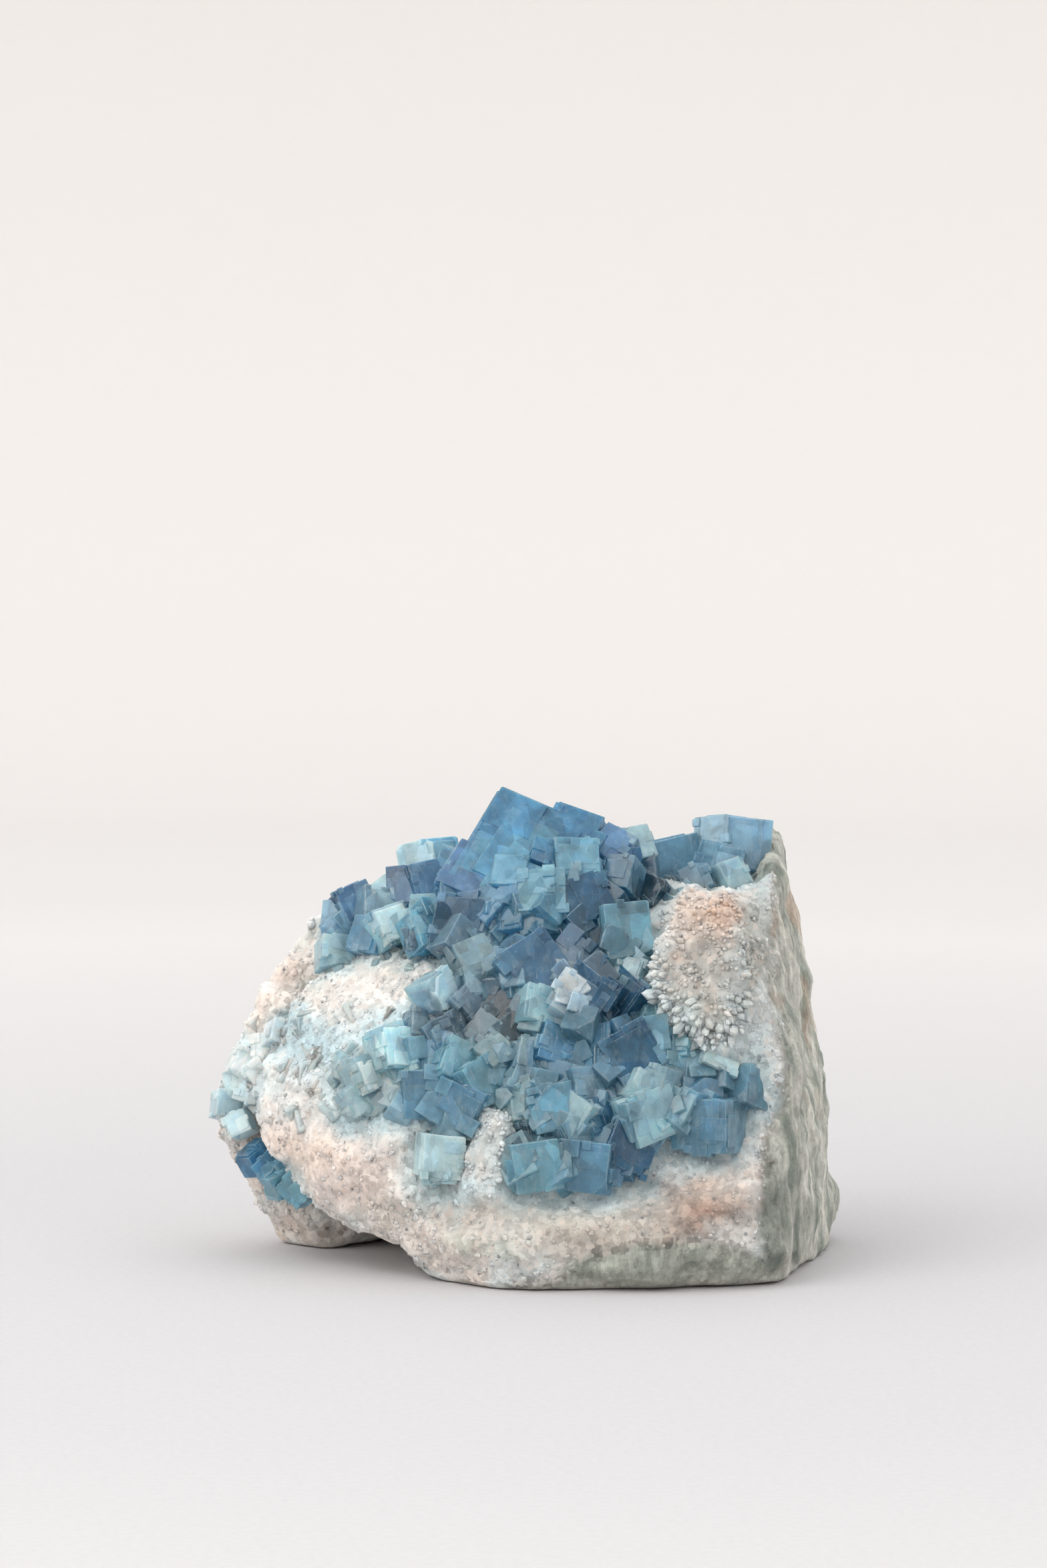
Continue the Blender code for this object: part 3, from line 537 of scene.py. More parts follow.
# %% One clump
def grow_clump(name, rows, seed):
    """One clump as a single closed skin of all its blocks."""
    rng = random.Random(seed)
    blocks = bpy.data.collections.new(name + " blocks")
    bpy.context.scene.collection.children.link(blocks)
    for row in rows:
        grow_cube(row, rng, blocks)
        across, up, back, edge = row[:4]
        filled = edge < LARGE_CUBE and name == FILLED_CLUMP and fills_at(across, up)
        for _ in range(FILLERS if filled else 0):
            around = rng.uniform(0, math.tau if up > FILL_FOOT else math.pi)
            far = edge * rng.uniform(0.35, 0.62)
            small = edge * rng.uniform(0.34, 0.74)
            place = (
                across + far * math.cos(around), up + far * math.sin(around), back + rng.uniform(-0.3, 1.5)
            )
            turns = (rng.uniform(-45, 45), rng.uniform(8, 38), rng.uniform(-42, 42))
            grow_cube((*place, small, *turns), rng, blocks, filler=True)
    parts = list(blocks.objects)
    clump = parts[0]
    blocks.objects.unlink(clump)
    bpy.context.scene.collection.objects.link(clump)
    union = clump.modifiers.new("grown together", "BOOLEAN")
    union.operand_type = "COLLECTION"
    union.collection = blocks
    union.operation = "UNION"
    union.solver = "MANIFOLD"
    settled(clump)
    for part in parts[1:]:
        bpy.data.objects.remove(part)
    bpy.data.collections.remove(blocks)
    clump.data.transform(Matrix.Scale(MM, 4))
    clump.name = clump.data.name = name
    print(name, len(clump.data.polygons), "faces")
    return clump


# %% Grow the clumps of the solids
CLUMP_NAMES = {
    "fluorite_druse": "blue_fluorite_druse",
    "right_ridge_crystals": "blue_cubes_on_the_right_ridge",
    "back_left_crystals": "pale_cubes_behind_the_shoulder",
    "grey_cube": "grey_white_cube",
    "left_rim_crystals": "aqua_cubes_on_the_left_rim",
    "seam_crystals": "deep_blue_seam_cubes",
}
clumps = {}
for seed, (cad_node, rows) in enumerate(CLUMPS.items(), start=11):
    clumps[cad_node] = grow_clump(CLUMP_NAMES[cad_node], rows, seed)

# %% [markdown]
# Some crystals of the druse are far milkier than the others: the broken white one in the middle and the
# palest of the sky blue ones. They stand a little in front of the druse's own cubes and have a milkier
# material.

# %% Grow the pale crystals in the druse
PALE_ROWS = [
    (-13.2, 47.2, -2.2, 5.4, 25, 16, 44), (-21.0, 37.2, -2.0, 6.4, -3, 18, 35),
    (35.4, 36.2, -2.4, 6.4, -30, 26, 26), (-22.0, 59.0, 4.2, 6.0, 15, 28, 26),
    (-25.8, 32.4, -0.9, 5.0, 8, 24, 40), (8.4, 48.2, -3.7, 4.2, -34, 16, -8),
    (10.0, 44.8, -3.3, 3.4, -22, 20, 12), (7.0, 50.6, -2.8, 2.8, -46, 14, -16),
    (7.2, 46.0, -3.0, 2.6, -14, 22, 18), (10.4, 47.6, -3.5, 2.4, -52, 20, -20),
]
pale_crystals = grow_clump("pale_crystals_in_the_druse", PALE_ROWS, 31)

# %% [markdown]
# The block's relief can be laid on now that it is known where the crystals stand. Close under them it is
# sunk a little, so that they rise from the stone and are not buried by its chips.

# %% Lay the relief on the block
crystal_points = KDTree(sum(len(clump.data.polygons) for clump in clumps.values()))
count = 0
for clump in clumps.values():
    for polygon in clump.data.polygons:
        crystal_points.insert(polygon.center / MM, count)
        count += 1
crystal_points.balance()

places = [vert.co / MM for vert in block_shape.verts]
normals = [vert.normal.copy() for vert in block_shape.verts]
schist = [schist_share(place, normal) for place, normal in zip(places, normals)]
crystal_gap = [crystal_points.find(place)[2] for place in places]
heights = []
for place, normal, share, gap in zip(places, normals, schist, crystal_gap):
    height = relief(place, share) - 0.5 * (1 - smoothstep(gap, 0.6, 3.0))
    low = smoothstep(place.z, 0.3, 2.5)
    heights.append(height * low - 0.1 * (1 - low))
for vert, place, normal, height in zip(block_shape.verts, places, normals, heights):
    moved = place + normal * height
    moved.z = max(0.0, moved.z)
    vert.co = moved * MM
block_shape.to_mesh(block.data)
block_shape.free()
print("block relief from", round(min(heights), 2), "to", round(max(heights), 2), "mm")

# %% [markdown]
# ## Colours of the stone
#
# The quartz is white where it is pure, peach to rust where iron has stained it, and pale aqua close to the
# fluorite. These are soft spots laid on the front, as a painter would, and each one is broken up by
# noise so that none has a plain outline. The back and the left side were never seen, and get the same vein
# with stains by noise alone. The front is darkened a little by painted shade, more so on its right half.

# %% Stains on the front, as across, up, half width, half height, colour and strength
QUARTZ, COOL_QUARTZ, WARM_QUARTZ = paint(236, 233, 228), paint(228, 234, 232), paint(236, 226, 217)
PINK, PEACH, RUST = paint(232, 216, 206), paint(234, 208, 190), paint(216, 172, 148)
WATER, PALE_GREEN, BEIGE = paint(200, 222, 226), paint(182, 196, 186), paint(212, 204, 192)
DEEP_WATER, CLEAR_GREY = paint(166, 200, 210), paint(186, 190, 188)
STONE_GREY, DARK_GREY, BROWN = paint(186, 184, 176), paint(120, 114, 112), paint(150, 124, 108)
LEFT_SHADE, RIGHT_SHADE = 0.09, 0.18
STAINS = [
    (-39, 53.7, 4, 5, PEACH, 0.55), (-41.6, 50.8, 2.6, 2, RUST, 0.5),
    (-35.7, 48.2, 2.4, 1.6, PALE_GREEN, 0.8), (-36, 58.5, 4, 2.5, PALE_GREEN, 0.45),
    (-24, 53.5, 8, 2.6, BEIGE, 0.5), (-31, 47.5, 7, 4, WARM_QUARTZ, 0.7), (-38.9, 41.9, 4, 2, WATER, 0.7),
    (-27, 42.6, 9, 3, COOL_QUARTZ, 0.8), (-36, 38.5, 7, 2.2, WATER, 0.6), (-22, 42, 5, 2.6, WATER, 0.4),
    (-28, 37.5, 5, 3.2, WATER, 0.5), (-40, 34.5, 5, 3, COOL_QUARTZ, 0.8), (-26.5, 26, 6, 3.5, WATER, 0.5),
    (-33, 30, 4, 4, WATER, 0.3), (-42, 21.4, 4, 3, PEACH, 0.5), (-38.5, 16.5, 5.5, 4, PEACH, 0.65),
    (-27, 19.6, 7, 3, PINK, 0.5), (-30, 12.6, 7, 4.5, PINK, 0.75), (-20.5, 18, 3.5, 5, WARM_QUARTZ, 0.6),
    (-22, 8.6, 6, 3, BEIGE, 0.6), (-17, 10.5, 3.4, 4, COOL_QUARTZ, 0.6), (-9, 11.4, 6, 2.2, WATER, 0.75),
    (-14.6, 21.6, 1.6, 1.4, RUST, 0.9), (-10, 18.6, 1.6, 3.4, BROWN, 0.85),
    (-11.4, 14.4, 2.4, 1.4, RUST, 0.5), (-5.2, 21.2, 4.6, 6, PINK, 0.7), (-5, 20, 4, 5, STONE_GREY, 0.35),
    (-6, 26.8, 2.4, 1.6, BROWN, 0.6), (2.8, 9.8, 10, 1.8, COOL_QUARTZ, 0.8),
    (-8.3, 5.7, 5, 2.4, STONE_GREY, 0.55), (-3.2, 1.2, 3, 1.8, PALE_GREEN, 0.8),
    (-10.6, 2, 2.6, 1.4, PALE_GREEN, 0.6), (2, 5, 6, 2, QUARTZ, 0.6), (10.6, 4.6, 9, 1.6, BEIGE, 0.6),
    (19.4, 9.4, 3.6, 2.2, STONE_GREY, 0.8), (22.8, 13.4, 4, 1.5, DARK_GREY, 0.85),
    (26.6, 10.8, 2, 1.2, DARK_GREY, 0.55), (12, 4, 17, 4.5, BEIGE, 0.8), (32, 7.6, 6.6, 4.2, BROWN, 0.75),
    (33, 8.6, 3, 2.4, RUST, 0.55), (34.2, 12.4, 4.6, 3, PEACH, 0.6), (4, 8, 9, 2.5, STONE_GREY, 0.4),
    (29, 15.8, 5, 1.6, COOL_QUARTZ, 0.8), (38.4, 17.4, 2.8, 4, WARM_QUARTZ, 0.6),
    (37.8, 21.6, 1.6, 3, DARK_GREY, 0.8), (36, 3.2, 6, 2, QUARTZ, 0.8),
    (8.4, -1.2, 3, 1.2, PALE_GREEN, 0.5), (30.5, 64, 4, 2.6, PINK, 0.6),
    (35.4, 60.4, 3.2, 2.8, RUST, 0.9), (32, 60, 5.5, 5, PEACH, 0.75), (26.4, 52.6, 1.4, 1.2, PEACH, 0.8),
    (33.2, 52.6, 3, 3, STONE_GREY, 0.5), (30.6, 48, 7, 8, STONE_GREY, 0.6), (30.6, 44, 5, 4, BEIGE, 0.4),
    (39.4, 51, 2.6, 7, WATER, 0.5), (42, 62, 1.8, 8, WATER, 0.6), (41.2, 54, 3, 9, STONE_GREY, 0.8),
    (38.6, 39.6, 4, 5, WATER, 0.45), (41.6, 33, 2.6, 7, COOL_QUARTZ, 0.8), (39.6, 29.6, 2, 5, WATER, 0.6),
    (42.6, 44, 2, 5, COOL_QUARTZ, 0.8), (43.4, 75.4, 2.6, 2.4, PINK, 0.9), (-48.6, 14, 4, 4, PINK, 0.7),
    (-42, 6.4, 5, 2.4, PEACH, 0.6), (-35, 3.4, 4, 2, BROWN, 0.5), (-52, 28, 2.6, 8, WATER, 0.7),
    (-49, 36, 4, 3, WATER, 0.6), (-53.6, 21, 1.6, 4, PEACH, 0.6), (-38, 37, 5, 2.6, DEEP_WATER, 0.6),
    (-31, 34, 4, 3.4, DEEP_WATER, 0.4), (-25.5, 24.5, 5, 2.6, DEEP_WATER, 0.5),
    (-40, 41.5, 3.6, 1.8, DEEP_WATER, 0.55), (-30.5, 28.6, 2.4, 4, DEEP_WATER, 0.4),
    (-24, 40.6, 3.4, 2.2, DEEP_WATER, 0.45), (-28.4, 24.6, 2, 3, DEEP_WATER, 0.35),
]


def warped_place(point):
    """A place on the front, shaken so that a spot's outline gets ragged."""
    across, up = on_plane(point)
    coarse, fine = noise.noise_vector(point / 5), noise.noise_vector(point / 1.4)
    return across + 2.2 * coarse.x + 0.9 * fine.x, up + 2.2 * coarse.z + 0.9 * fine.z


def quartz_colour(point, normal):
    """The colour of the vein at a point, in millimetres."""
    slow = noise.fractal(point / 17, 1.0, 2.0, 3)
    other = noise.fractal(point / 11 + Vector((31, 7, 3)), 1.0, 2.0, 3)
    colour = mixed(QUARTZ, WARM_QUARTZ, smoothstep(slow, -0.1, 0.5))
    colour = mixed(colour, COOL_QUARTZ, smoothstep(other, 0.0, 0.5))
    patches = smoothstep(noise.noise(point / 3 + Vector((2, 17, 5))), 0.05, 0.45)
    colour = mixed(colour, CLEAR_GREY, 0.4 * patches)
    front = smoothstep(-normal.y, -0.35, 0.1) * smoothstep(18 - point.y, 0, 10)
    if front < 1:
        hidden = mixed(colour, PEACH, 0.75 * smoothstep(slow, 0.12, 0.45))
        hidden = mixed(hidden, STONE_GREY, 0.7 * smoothstep(other, 0.1, 0.5))
        hidden = mixed(hidden, WATER, 0.5 * smoothstep(noise.fractal(point / 21, 1, 2, 2), 0.15, 0.5))
        colour = mixed(hidden, colour, front)
    if front > 0:
        across, up = warped_place(point)
        for place, height, half_width, half_height, stain, strength in STAINS:
            gone = ((across - place) / half_width) ** 2 + ((up - height) / half_height) ** 2
            if gone < 4:
                colour = mixed(colour, stain, strength * math.exp(-(gone**1.5) * 0.55) * front)
        # painted shade: the front is darkened a little, more so on its right half, away from the lamp
        dusk = (LEFT_SHADE + RIGHT_SHADE * smoothstep(across, -12, 22)) * front
        colour = tuple(part * (1 - dusk) for part in colour)
    return colour


SCHIST_LIGHT, SCHIST_GREY = paint(204, 203, 193), paint(174, 176, 166)
SCHIST_GREEN, SCHIST_PAINTED_SHADE = paint(134, 142, 132), paint(92, 102, 94)
SCHIST_RUST, FOOT_PAINTED_LIGHT, WALL_SHADE = paint(186, 160, 138), paint(206, 210, 196), 0.88


def schist_colour(point, normal):
    """The colour of the schist at a point, in millimetres: leaf by leaf, with painted shade low on the
    wall's front edge and painted light at the foot.
    """
    upright = Vector((point.x / 3.4, point.y / 3.4, point.z / 12))
    leaf = noise.fractal(upright, 1.0, 2.0, 3)
    colour = mixed(SCHIST_GREY, SCHIST_LIGHT, smoothstep(leaf, 0.0, 0.5))
    colour = mixed(colour, SCHIST_GREEN, smoothstep(-leaf, 0.05, 0.45))
    rusty = noise.noise(point / 9 + Vector((3, 30, 3)))
    rusty = 0.55 * smoothstep(rusty, 0.2, 0.5) * smoothstep(point.z, 20, 40)
    colour = mixed(colour, SCHIST_RUST, rusty)
    across, up = on_plane(point)
    edge = across - along(SCHIST_EDGE, up)
    # painted shade: darker low along the front edge of the wall, on faces turned to the front
    shade = smoothstep(7 - edge, 0, 5) * smoothstep(30 - point.z, 0, 16) * smoothstep(0.2 - normal.y, 0, 0.4)
    colour = mixed(colour, SCHIST_PAINTED_SHADE, 0.55 * shade)
    # painted shade over the whole wall, lifted again towards its right end
    colour = tuple(part * WALL_SHADE * (1 + 0.2 * smoothstep(point.x, 46, 54)) for part in colour)
    # painted light: lighter at the very bottom of the front and at the foot, where the stone faces down into
    # shade
    low = smoothstep(3.6 - point.z, 0, 3.4) * smoothstep(-6 - point.y, 0, 10)
    colour = mixed(colour, SCHIST_LIGHT, 0.7 * low)
    foot = smoothstep(12 - point.z, 0, 6) * smoothstep(-9 - point.y, 0, 6) * smoothstep(42 - point.x, 0, 4)
    return mixed(colour, FOOT_PAINTED_LIGHT, 0.35 * foot * smoothstep(point.z, 0, 3))


# %% Paint the block, point by point
HOLLOW_SHADE = 0.84
stone = []
for place, normal, share, gap, height in zip(places, normals, schist, crystal_gap, heights):
    colour = quartz_colour(place, normal)
    colour = mixed(colour, WATER, 0.55 * smoothstep(4.5 - gap, 0, 3.6))
    if share > 0:
        colour = mixed(colour, schist_colour(place, normal), share)
    depth = smoothstep(height, -0.95, 0.1)
    colour = mixed(tuple(HOLLOW_SHADE * part for part in colour), colour, depth)
    stone.append((*colour, 1))
paint_points(block.data, "stone", "FLOAT_COLOR", stone)
paint_points(block.data, "schist", "FLOAT", schist)
print("painted", len(stone), "points of stone")

# %% [markdown]
# The stone's material adds what is finer than its points: grains of quartz with their own shade, specks of
# dark mica, thin leaves in the schist, and a surface that is glassy on some grains and chalky on others.

# %% Node helpers
def new_material(name):
    """A material with its node tree and its main shader."""
    material = bpy.data.materials.new(name)
    material.use_nodes = True
    return material, material.node_tree, material.node_tree.nodes["Principled BSDF"]


def fill(tree, made, inputs):
    """Gives a node its inputs: a socket is linked, and a plain value is set."""
    for key, value in inputs.items():
        if isinstance(value, bpy.types.NodeSocket):
            tree.links.new(value, made.inputs[key])
        else:
            made.inputs[key].default_value = value


def node(tree, kind, inputs=None, **settings):
    """Adds a node with its settings and its inputs."""
    made = tree.nodes.new(kind)
    for key, value in settings.items():
        setattr(made, key, value)
    fill(tree, made, inputs or {})
    return made


def attribute(tree, name, output):
    """What the mesh carries under a name, as Color or as Fac."""
    return node(tree, "ShaderNodeAttribute", attribute_name=name).outputs[output]


def mix_colour(tree, share, first, second, blend="MIX"):
    """Mixes two colours; each of the three may be a value or a socket."""
    first, second = [(*part, 1) if isinstance(part, tuple) else part for part in (first, second)]
    made = node(tree, "ShaderNodeMix", {0: share, 6: first, 7: second}, data_type="RGBA", blend_type=blend)
    return made.outputs[2]


def shaded(tree, colour, shade):
    """A colour times a shade."""
    return mix_colour(tree, 1.0, colour, shade, "MULTIPLY")


def product(tree, first, second):
    """One value times another."""
    return node(tree, "ShaderNodeMath", {0: first, 1: second}, operation="MULTIPLY").outputs[0]


def ramp(tree, source, low, high, out_low=0.0, out_high=1.0):
    """Maps a range of the source to another range, and keeps it inside."""
    inputs = {0: source, 1: low, 2: high, 3: out_low, 4: out_high}
    return node(tree, "ShaderNodeMapRange", inputs).outputs[0]


def scaled(tree, coordinates, scale):
    """Object coordinates, stretched, in cells per metre."""
    return node(tree, "ShaderNodeMapping", {"Vector": coordinates, "Scale": scale}).outputs["Vector"]


def noise_at(tree, vector, scale, detail=3.0, rough=0.55):
    inputs = {"Vector": vector, "Scale": scale, "Detail": detail, "Roughness": rough}
    return node(tree, "ShaderNodeTexNoise", inputs).outputs["Fac"]


def cells(tree, vector, scale):
    """A flat random colour for each cell of a broken pattern."""
    inputs = {"Vector": vector, "Scale": scale, "Randomness": 1.0}
    return node(tree, "ShaderNodeTexVoronoi", inputs).outputs["Color"]


def parts_of(tree, colour):
    """The three parts of a colour, which serve as three random values of a cell."""
    return node(tree, "ShaderNodeSeparateColor", {"Color": colour}).outputs


def cell_slope(tree, cell_colour, coordinates):
    """A height that slopes its own way in each cell, so that a bump makes each cell a facet."""
    centred = node(tree, "ShaderNodeVectorMath", {0: cell_colour, 1: (0.5, 0.5, 0.5)}, operation="SUBTRACT")
    inputs = {0: centred.outputs["Vector"], 1: coordinates}
    return node(tree, "ShaderNodeVectorMath", inputs, operation="DOT_PRODUCT").outputs["Value"]


def bumped(tree, height, strength, distance, normal=None):
    """A bump on the plain surface, or on top of another bump."""
    inputs = {"Height": height, "Strength": strength, "Distance": distance}
    if normal is not None:
        inputs["Normal"] = normal
    return node(tree, "ShaderNodeBump", inputs).outputs["Normal"]


# %% The stone material, for the block and for its loose grains
MICA, QUARTZ_IOR = paint(92, 94, 86), 1.54


def stone_material(name, clear):
    """Quartz and schist. The loose grains are clearer and glossier than the massive block."""
    material, tree, shader = new_material(name)
    coordinates = node(tree, "ShaderNodeTexCoord").outputs["Object"]
    base, leafy = attribute(tree, "stone", "Color"), attribute(tree, "schist", "Fac")

    grain = cells(tree, coordinates, 950.0)
    cell = parts_of(tree, grain)
    fine = noise_at(tree, coordinates, 2600.0, 4.0, 0.65)
    mottle = ramp(tree, fine, 0.3, 0.7, 0.88, 1.08)
    quartz = shaded(tree, base, product(tree, ramp(tree, cell[0], 0, 1, 0.84, 1.1), mottle))
    quartz = mix_colour(tree, ramp(tree, cell[1], 0.8, 0.95, 0.0, 0.22), quartz, PEACH)

    leaves = noise_at(tree, scaled(tree, coordinates, (1400.0, 1400.0, 300.0)), 1.0, 4.0, 0.6)
    blotch = noise_at(tree, coordinates, 420.0, 5.0, 0.7)
    leafed = shaded(tree, base, ramp(tree, leaves, 0.32, 0.68, 0.76, 1.18))
    leafed = shaded(tree, shaded(tree, leafed, mottle), ramp(tree, blotch, 0.35, 0.65, 0.8, 1.16))

    specks = ramp(tree, noise_at(tree, coordinates, 1500.0, 2.0, 0.5), 0.70, 0.76, 0.0, 0.6)
    colour = mix_colour(tree, specks, mix_colour(tree, leafy, quartz, leafed), MICA)

    leaf_cells = cells(tree, scaled(tree, coordinates, (1100.0, 1100.0, 210.0)), 1.0)
    tilts = mix_colour(tree, leafy, grain, leaf_cells)
    facets = bumped(tree, cell_slope(tree, tilts, coordinates), 0.3 if clear else 0.6, 1.0)
    fill(tree, shader, {
        "Base Color": colour,
        "Roughness": ramp(tree, cell[2], 0, 1, 0.3 if clear else 0.42, 0.62 if clear else 0.85),
        "Normal": bumped(tree, fine, 0.35, 0.2 * MM, facets),
        "IOR": QUARTZ_IOR,
        "Subsurface Weight": 0.8 if clear else 0.6,
        "Subsurface Radius": (1.0, 0.9, 0.8),
        "Subsurface Scale": 1.4 * MM,
    })
    return material


# %% Give the block its material and its place in the frame
block.data.materials.append(stone_material("vein_quartz_and_schist", clear=False))
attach(block, "root")
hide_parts("matrix_rock")

# %% [markdown]
# Fluorite lets light in and soaks some of it up. The faces are satin, not polished, since they are covered
# with tiny growth steps. So the shader lets part of the light through, with the real refractive index, and
# the red part of it is absorbed on the way, while the rest of the look is a soft body colour. The milky
# crystals let less through. Each face is broken into facets of 2 to 3 mm with their own tone and tilt,
# worn edges scatter nearly white, and milky veils and hair-fine scratches lie just under the faces.

# %% The fluorite material
VEIL_WHITE, SCRATCH_WHITE, WORN_WHITE = paint(214, 226, 228), paint(196, 210, 214), paint(192, 206, 212)
FLUORITE_IOR = 1.434


def fluorite_material(name, clearness, kept_light, density):
    """Fluorite that is clear by a share. Its depth keeps the given light, and the density is per metre."""
    material, tree, shader = new_material(name)
    coordinates = node(tree, "ShaderNodeTexCoord").outputs["Object"]
    tint = attribute(tree, "tint", "Color")
    milk, wear = attribute(tree, "milk", "Fac"), attribute(tree, "wear", "Fac")

    zones = noise_at(tree, coordinates, 210.0, 4.0, 0.6)
    facets = cells(tree, scaled(tree, coordinates, (1.0, 1.0, 0.7)), 350.0)
    body = shaded(tree, tint, ramp(tree, zones, 0.3, 0.7, 0.72, 1.3))
    body = shaded(tree, body, ramp(tree, parts_of(tree, facets)[0], 0, 1, 0.78, 1.22))

    veil_source = noise_at(tree, scaled(tree, coordinates, (1.0, 1.0, 0.45)), 620.0, 6.0, 0.7)
    cloudy = product(tree, ramp(tree, veil_source, 0.5, 0.72), ramp(tree, milk, 0.0, 1.0, 0.12, 0.75))
    body = mix_colour(tree, cloudy, body, VEIL_WHITE)

    inputs = {"Vector": scaled(tree, coordinates, (1.0, 1.0, 2.2)), "Scale": 430.0}
    lines = node(tree, "ShaderNodeTexVoronoi", inputs, feature="DISTANCE_TO_EDGE").outputs["Distance"]
    here = noise_at(tree, coordinates, 160.0, 3.0, 0.6)
    scratched = product(tree, ramp(tree, lines, 0.0, 0.03, 0.5, 0.0), ramp(tree, here, 0.56, 0.7, 0.0, 0.9))
    body = mix_colour(tree, scratched, body, SCRATCH_WHITE)

    chipped = noise_at(tree, coordinates, 1500.0, 3.0, 0.6)
    worn = product(tree, wear, ramp(tree, chipped, 0.4, 0.66, 0.02, 0.62))
    body = mix_colour(tree, worn, body, WORN_WHITE)

    tilted = bumped(tree, cell_slope(tree, facets, coordinates), 0.22, 1.0)
    fill(tree, shader, {
        "Base Color": body,
        "Roughness": ramp(tree, zones, 0.3, 0.7, 0.1, 0.3),
        "Normal": bumped(tree, chipped, 0.25, 0.12 * MM, tilted),
        "IOR": FLUORITE_IOR,
        "Transmission Weight": clearness,
        "Subsurface Weight": 0.8,
        "Subsurface Radius": (0.7, 1.0, 1.2),
        "Subsurface Scale": 2.4 * MM,
    })
    inputs = {"Color": (*kept_light, 1), "Density": density}
    absorption = node(tree, "ShaderNodeVolumeAbsorption", inputs)
    fill(tree, tree.nodes["Material Output"], {"Volume": absorption.outputs["Volume"]})
    return material


# %% Give the crystals their material and their place in the frame
fluorite = fluorite_material("blue_fluorite", 0.6, (0.16, 0.72, 0.9), 40.0)
pale_fluorite = fluorite_material("milky_fluorite", 0.3, (0.5, 0.88, 0.94), 16.0)
PALE_CLUMPS = ("grey_cube", "left_rim_crystals", "back_left_crystals")
for cad_node, clump in clumps.items():
    clump.data.materials.clear()
    clump.data.materials.append(pale_fluorite if cad_node in PALE_CLUMPS else fluorite)
    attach(clump, "root")
    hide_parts(cad_node)

pale_crystals.data.materials.clear()
pale_crystals.data.materials.append(pale_fluorite)
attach(pale_crystals, "root")

# %% [markdown]
# ## What grew last
#
# Sugary quartz stands in grains of half a millimetre to two millimetres all over the vein, and in little
# six-sided points round the knob. Small fluorite cubes are scattered along the edge of the druse, and pale
# ones lie half sunk in the upper left slab. Each kind has shapes of its own, which are copied, turned and
# set into the stone at points of its surface drawn by chance, more of them where the kind belongs.

# %% Shapes of the grains
def grain_shape(seed):
    """A rough lump of quartz with flat faces."""
    rng = random.Random(seed)
    shape = bmesh.new()
    shape.faces.layers.float_color.new("stone")
    bmesh.ops.create_icosphere(shape, subdivisions=1, radius=0.5)
    for vert in shape.verts:
        vert.co *= rng.uniform(0.72, 1.2)
    return shape


def point_shape(seed):
    """A quartz point: a six-sided column that ends in a pyramid."""
    rng = random.Random(seed)
    shape = bmesh.new()
    shape.faces.layers.float_color.new("stone")
    length = rng.uniform(0.9, 1.5)
    bmesh.ops.create_cone(
        shape, cap_ends=True, segments=6, radius1=0.30, radius2=0.26, depth=length,
        matrix=Matrix.Translation((0, 0, length / 2 - 0.3)),
    )
    top = [face for face in shape.faces if face.normal.z > 0.9]
    tip = bmesh.ops.poke(shape, faces=top, offset=rng.uniform(0.2, 0.4))
    for vert in tip["verts"]:
        vert.co += Vector((rng.uniform(-0.1, 0.1), rng.uniform(-0.1, 0.1), 0))
    return shape


def cube_shape():
    """A small fluorite cube with worn edges."""
    shape = bmesh.new()
    shape.faces.layers.float_color.new("tint")
    shape.faces.layers.float.new("milk")
    worn = shape.faces.layers.float.new("wear")
    bmesh.ops.create_cube(shape, size=1)
    made = bmesh.ops.bevel(
        shape, geom=shape.edges[:], offset=0.06, offset_type="OFFSET", affect="EDGES", segments=1,
        profile=0.5, material=-1,
    )
    for face in made["faces"]:
        face[worn] = 1.0
    return shape


def scatter(name, shapes, spots, layer_name, material):
    """Joins copies of the shapes, one at each spot: (matrix, colour, milkiness)."""
    rng = random.Random(len(spots))
    models = []
    for model in shapes:
        mesh = bpy.data.meshes.new("model")
        model.to_mesh(mesh)
        model.free()
        models.append(mesh)
    joined = bmesh.new()
    for matrix, colour, milk in spots:
        copy = rng.choice(models).copy()
        copy.transform(matrix)
        copy.attributes[layer_name].data.foreach_set("color", np.tile((*colour, 1), len(copy.polygons)))
        if "milk" in copy.attributes:
            copy.attributes["milk"].data.foreach_set("value", np.full(len(copy.polygons), milk))
        joined.from_mesh(copy)
        bpy.data.meshes.remove(copy)
    for mesh in models:
        bpy.data.meshes.remove(mesh)
    made = object_from(joined, name)
    made.data.materials.append(material)
    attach(made, "root")
    print(name, len(spots), "copies,", len(made.data.polygons), "faces")


# %% Places for them on the stone
QUARTZ_GRAINS, QUARTZ_POINTS, SMALL_CUBES, SLAB_CUBES = 9600, 320, 280, 60
STONE_TRIES, CUBE_TRIES = 200000, 300000
# ovals on the front: the quartz knob, the rim where its points stand, and the pink boss
KNOB, KNOB_HALF, FRINGE_HALF = (32, 52), (9.5, 15), (8.5, 12.5)
BOSS, BOSS_HALF = (-5.4, 20.4), (5.4, 7.6)
spots_rng = random.Random(2)
moved_places = [vert.co / MM for vert in block.data.vertices]
block_normals = [vert.normal.copy() for vert in block.data.vertices]


def set_into(index, size, lean, depth, outward=Vector((0, 0, 0))):
    """A matrix that sets a shape of the given size into the stone at one of its points. It stands along the
    stone's own direction there, shaken by the lean and bent outward."""
    normal = block_normals[index]
    tilt = Vector([spots_rng.gauss(0, 1) for _ in range(3)]) * lean
    direction = (normal + tilt + outward).normalized()
    turn = direction.to_track_quat("Z", "Y").to_matrix().to_4x4()
    spin = Matrix.Rotation(spots_rng.uniform(0, math.tau), 4, "Z")
    centre = moved_places[index] - normal * depth
    stretch = Matrix.Diagonal((*[part * MM for part in size], 1))
    return Matrix.Translation(centre * MM) @ turn @ spin @ stretch


def off_centre(place, middle, half):
    """How far a place is from the middle of an oval on the front: 0 there and 1 on its outline."""
    across, up = on_plane(place)
    return ((across - middle[0]) / half[0]) ** 2 + ((up - middle[1]) / half[1]) ** 2


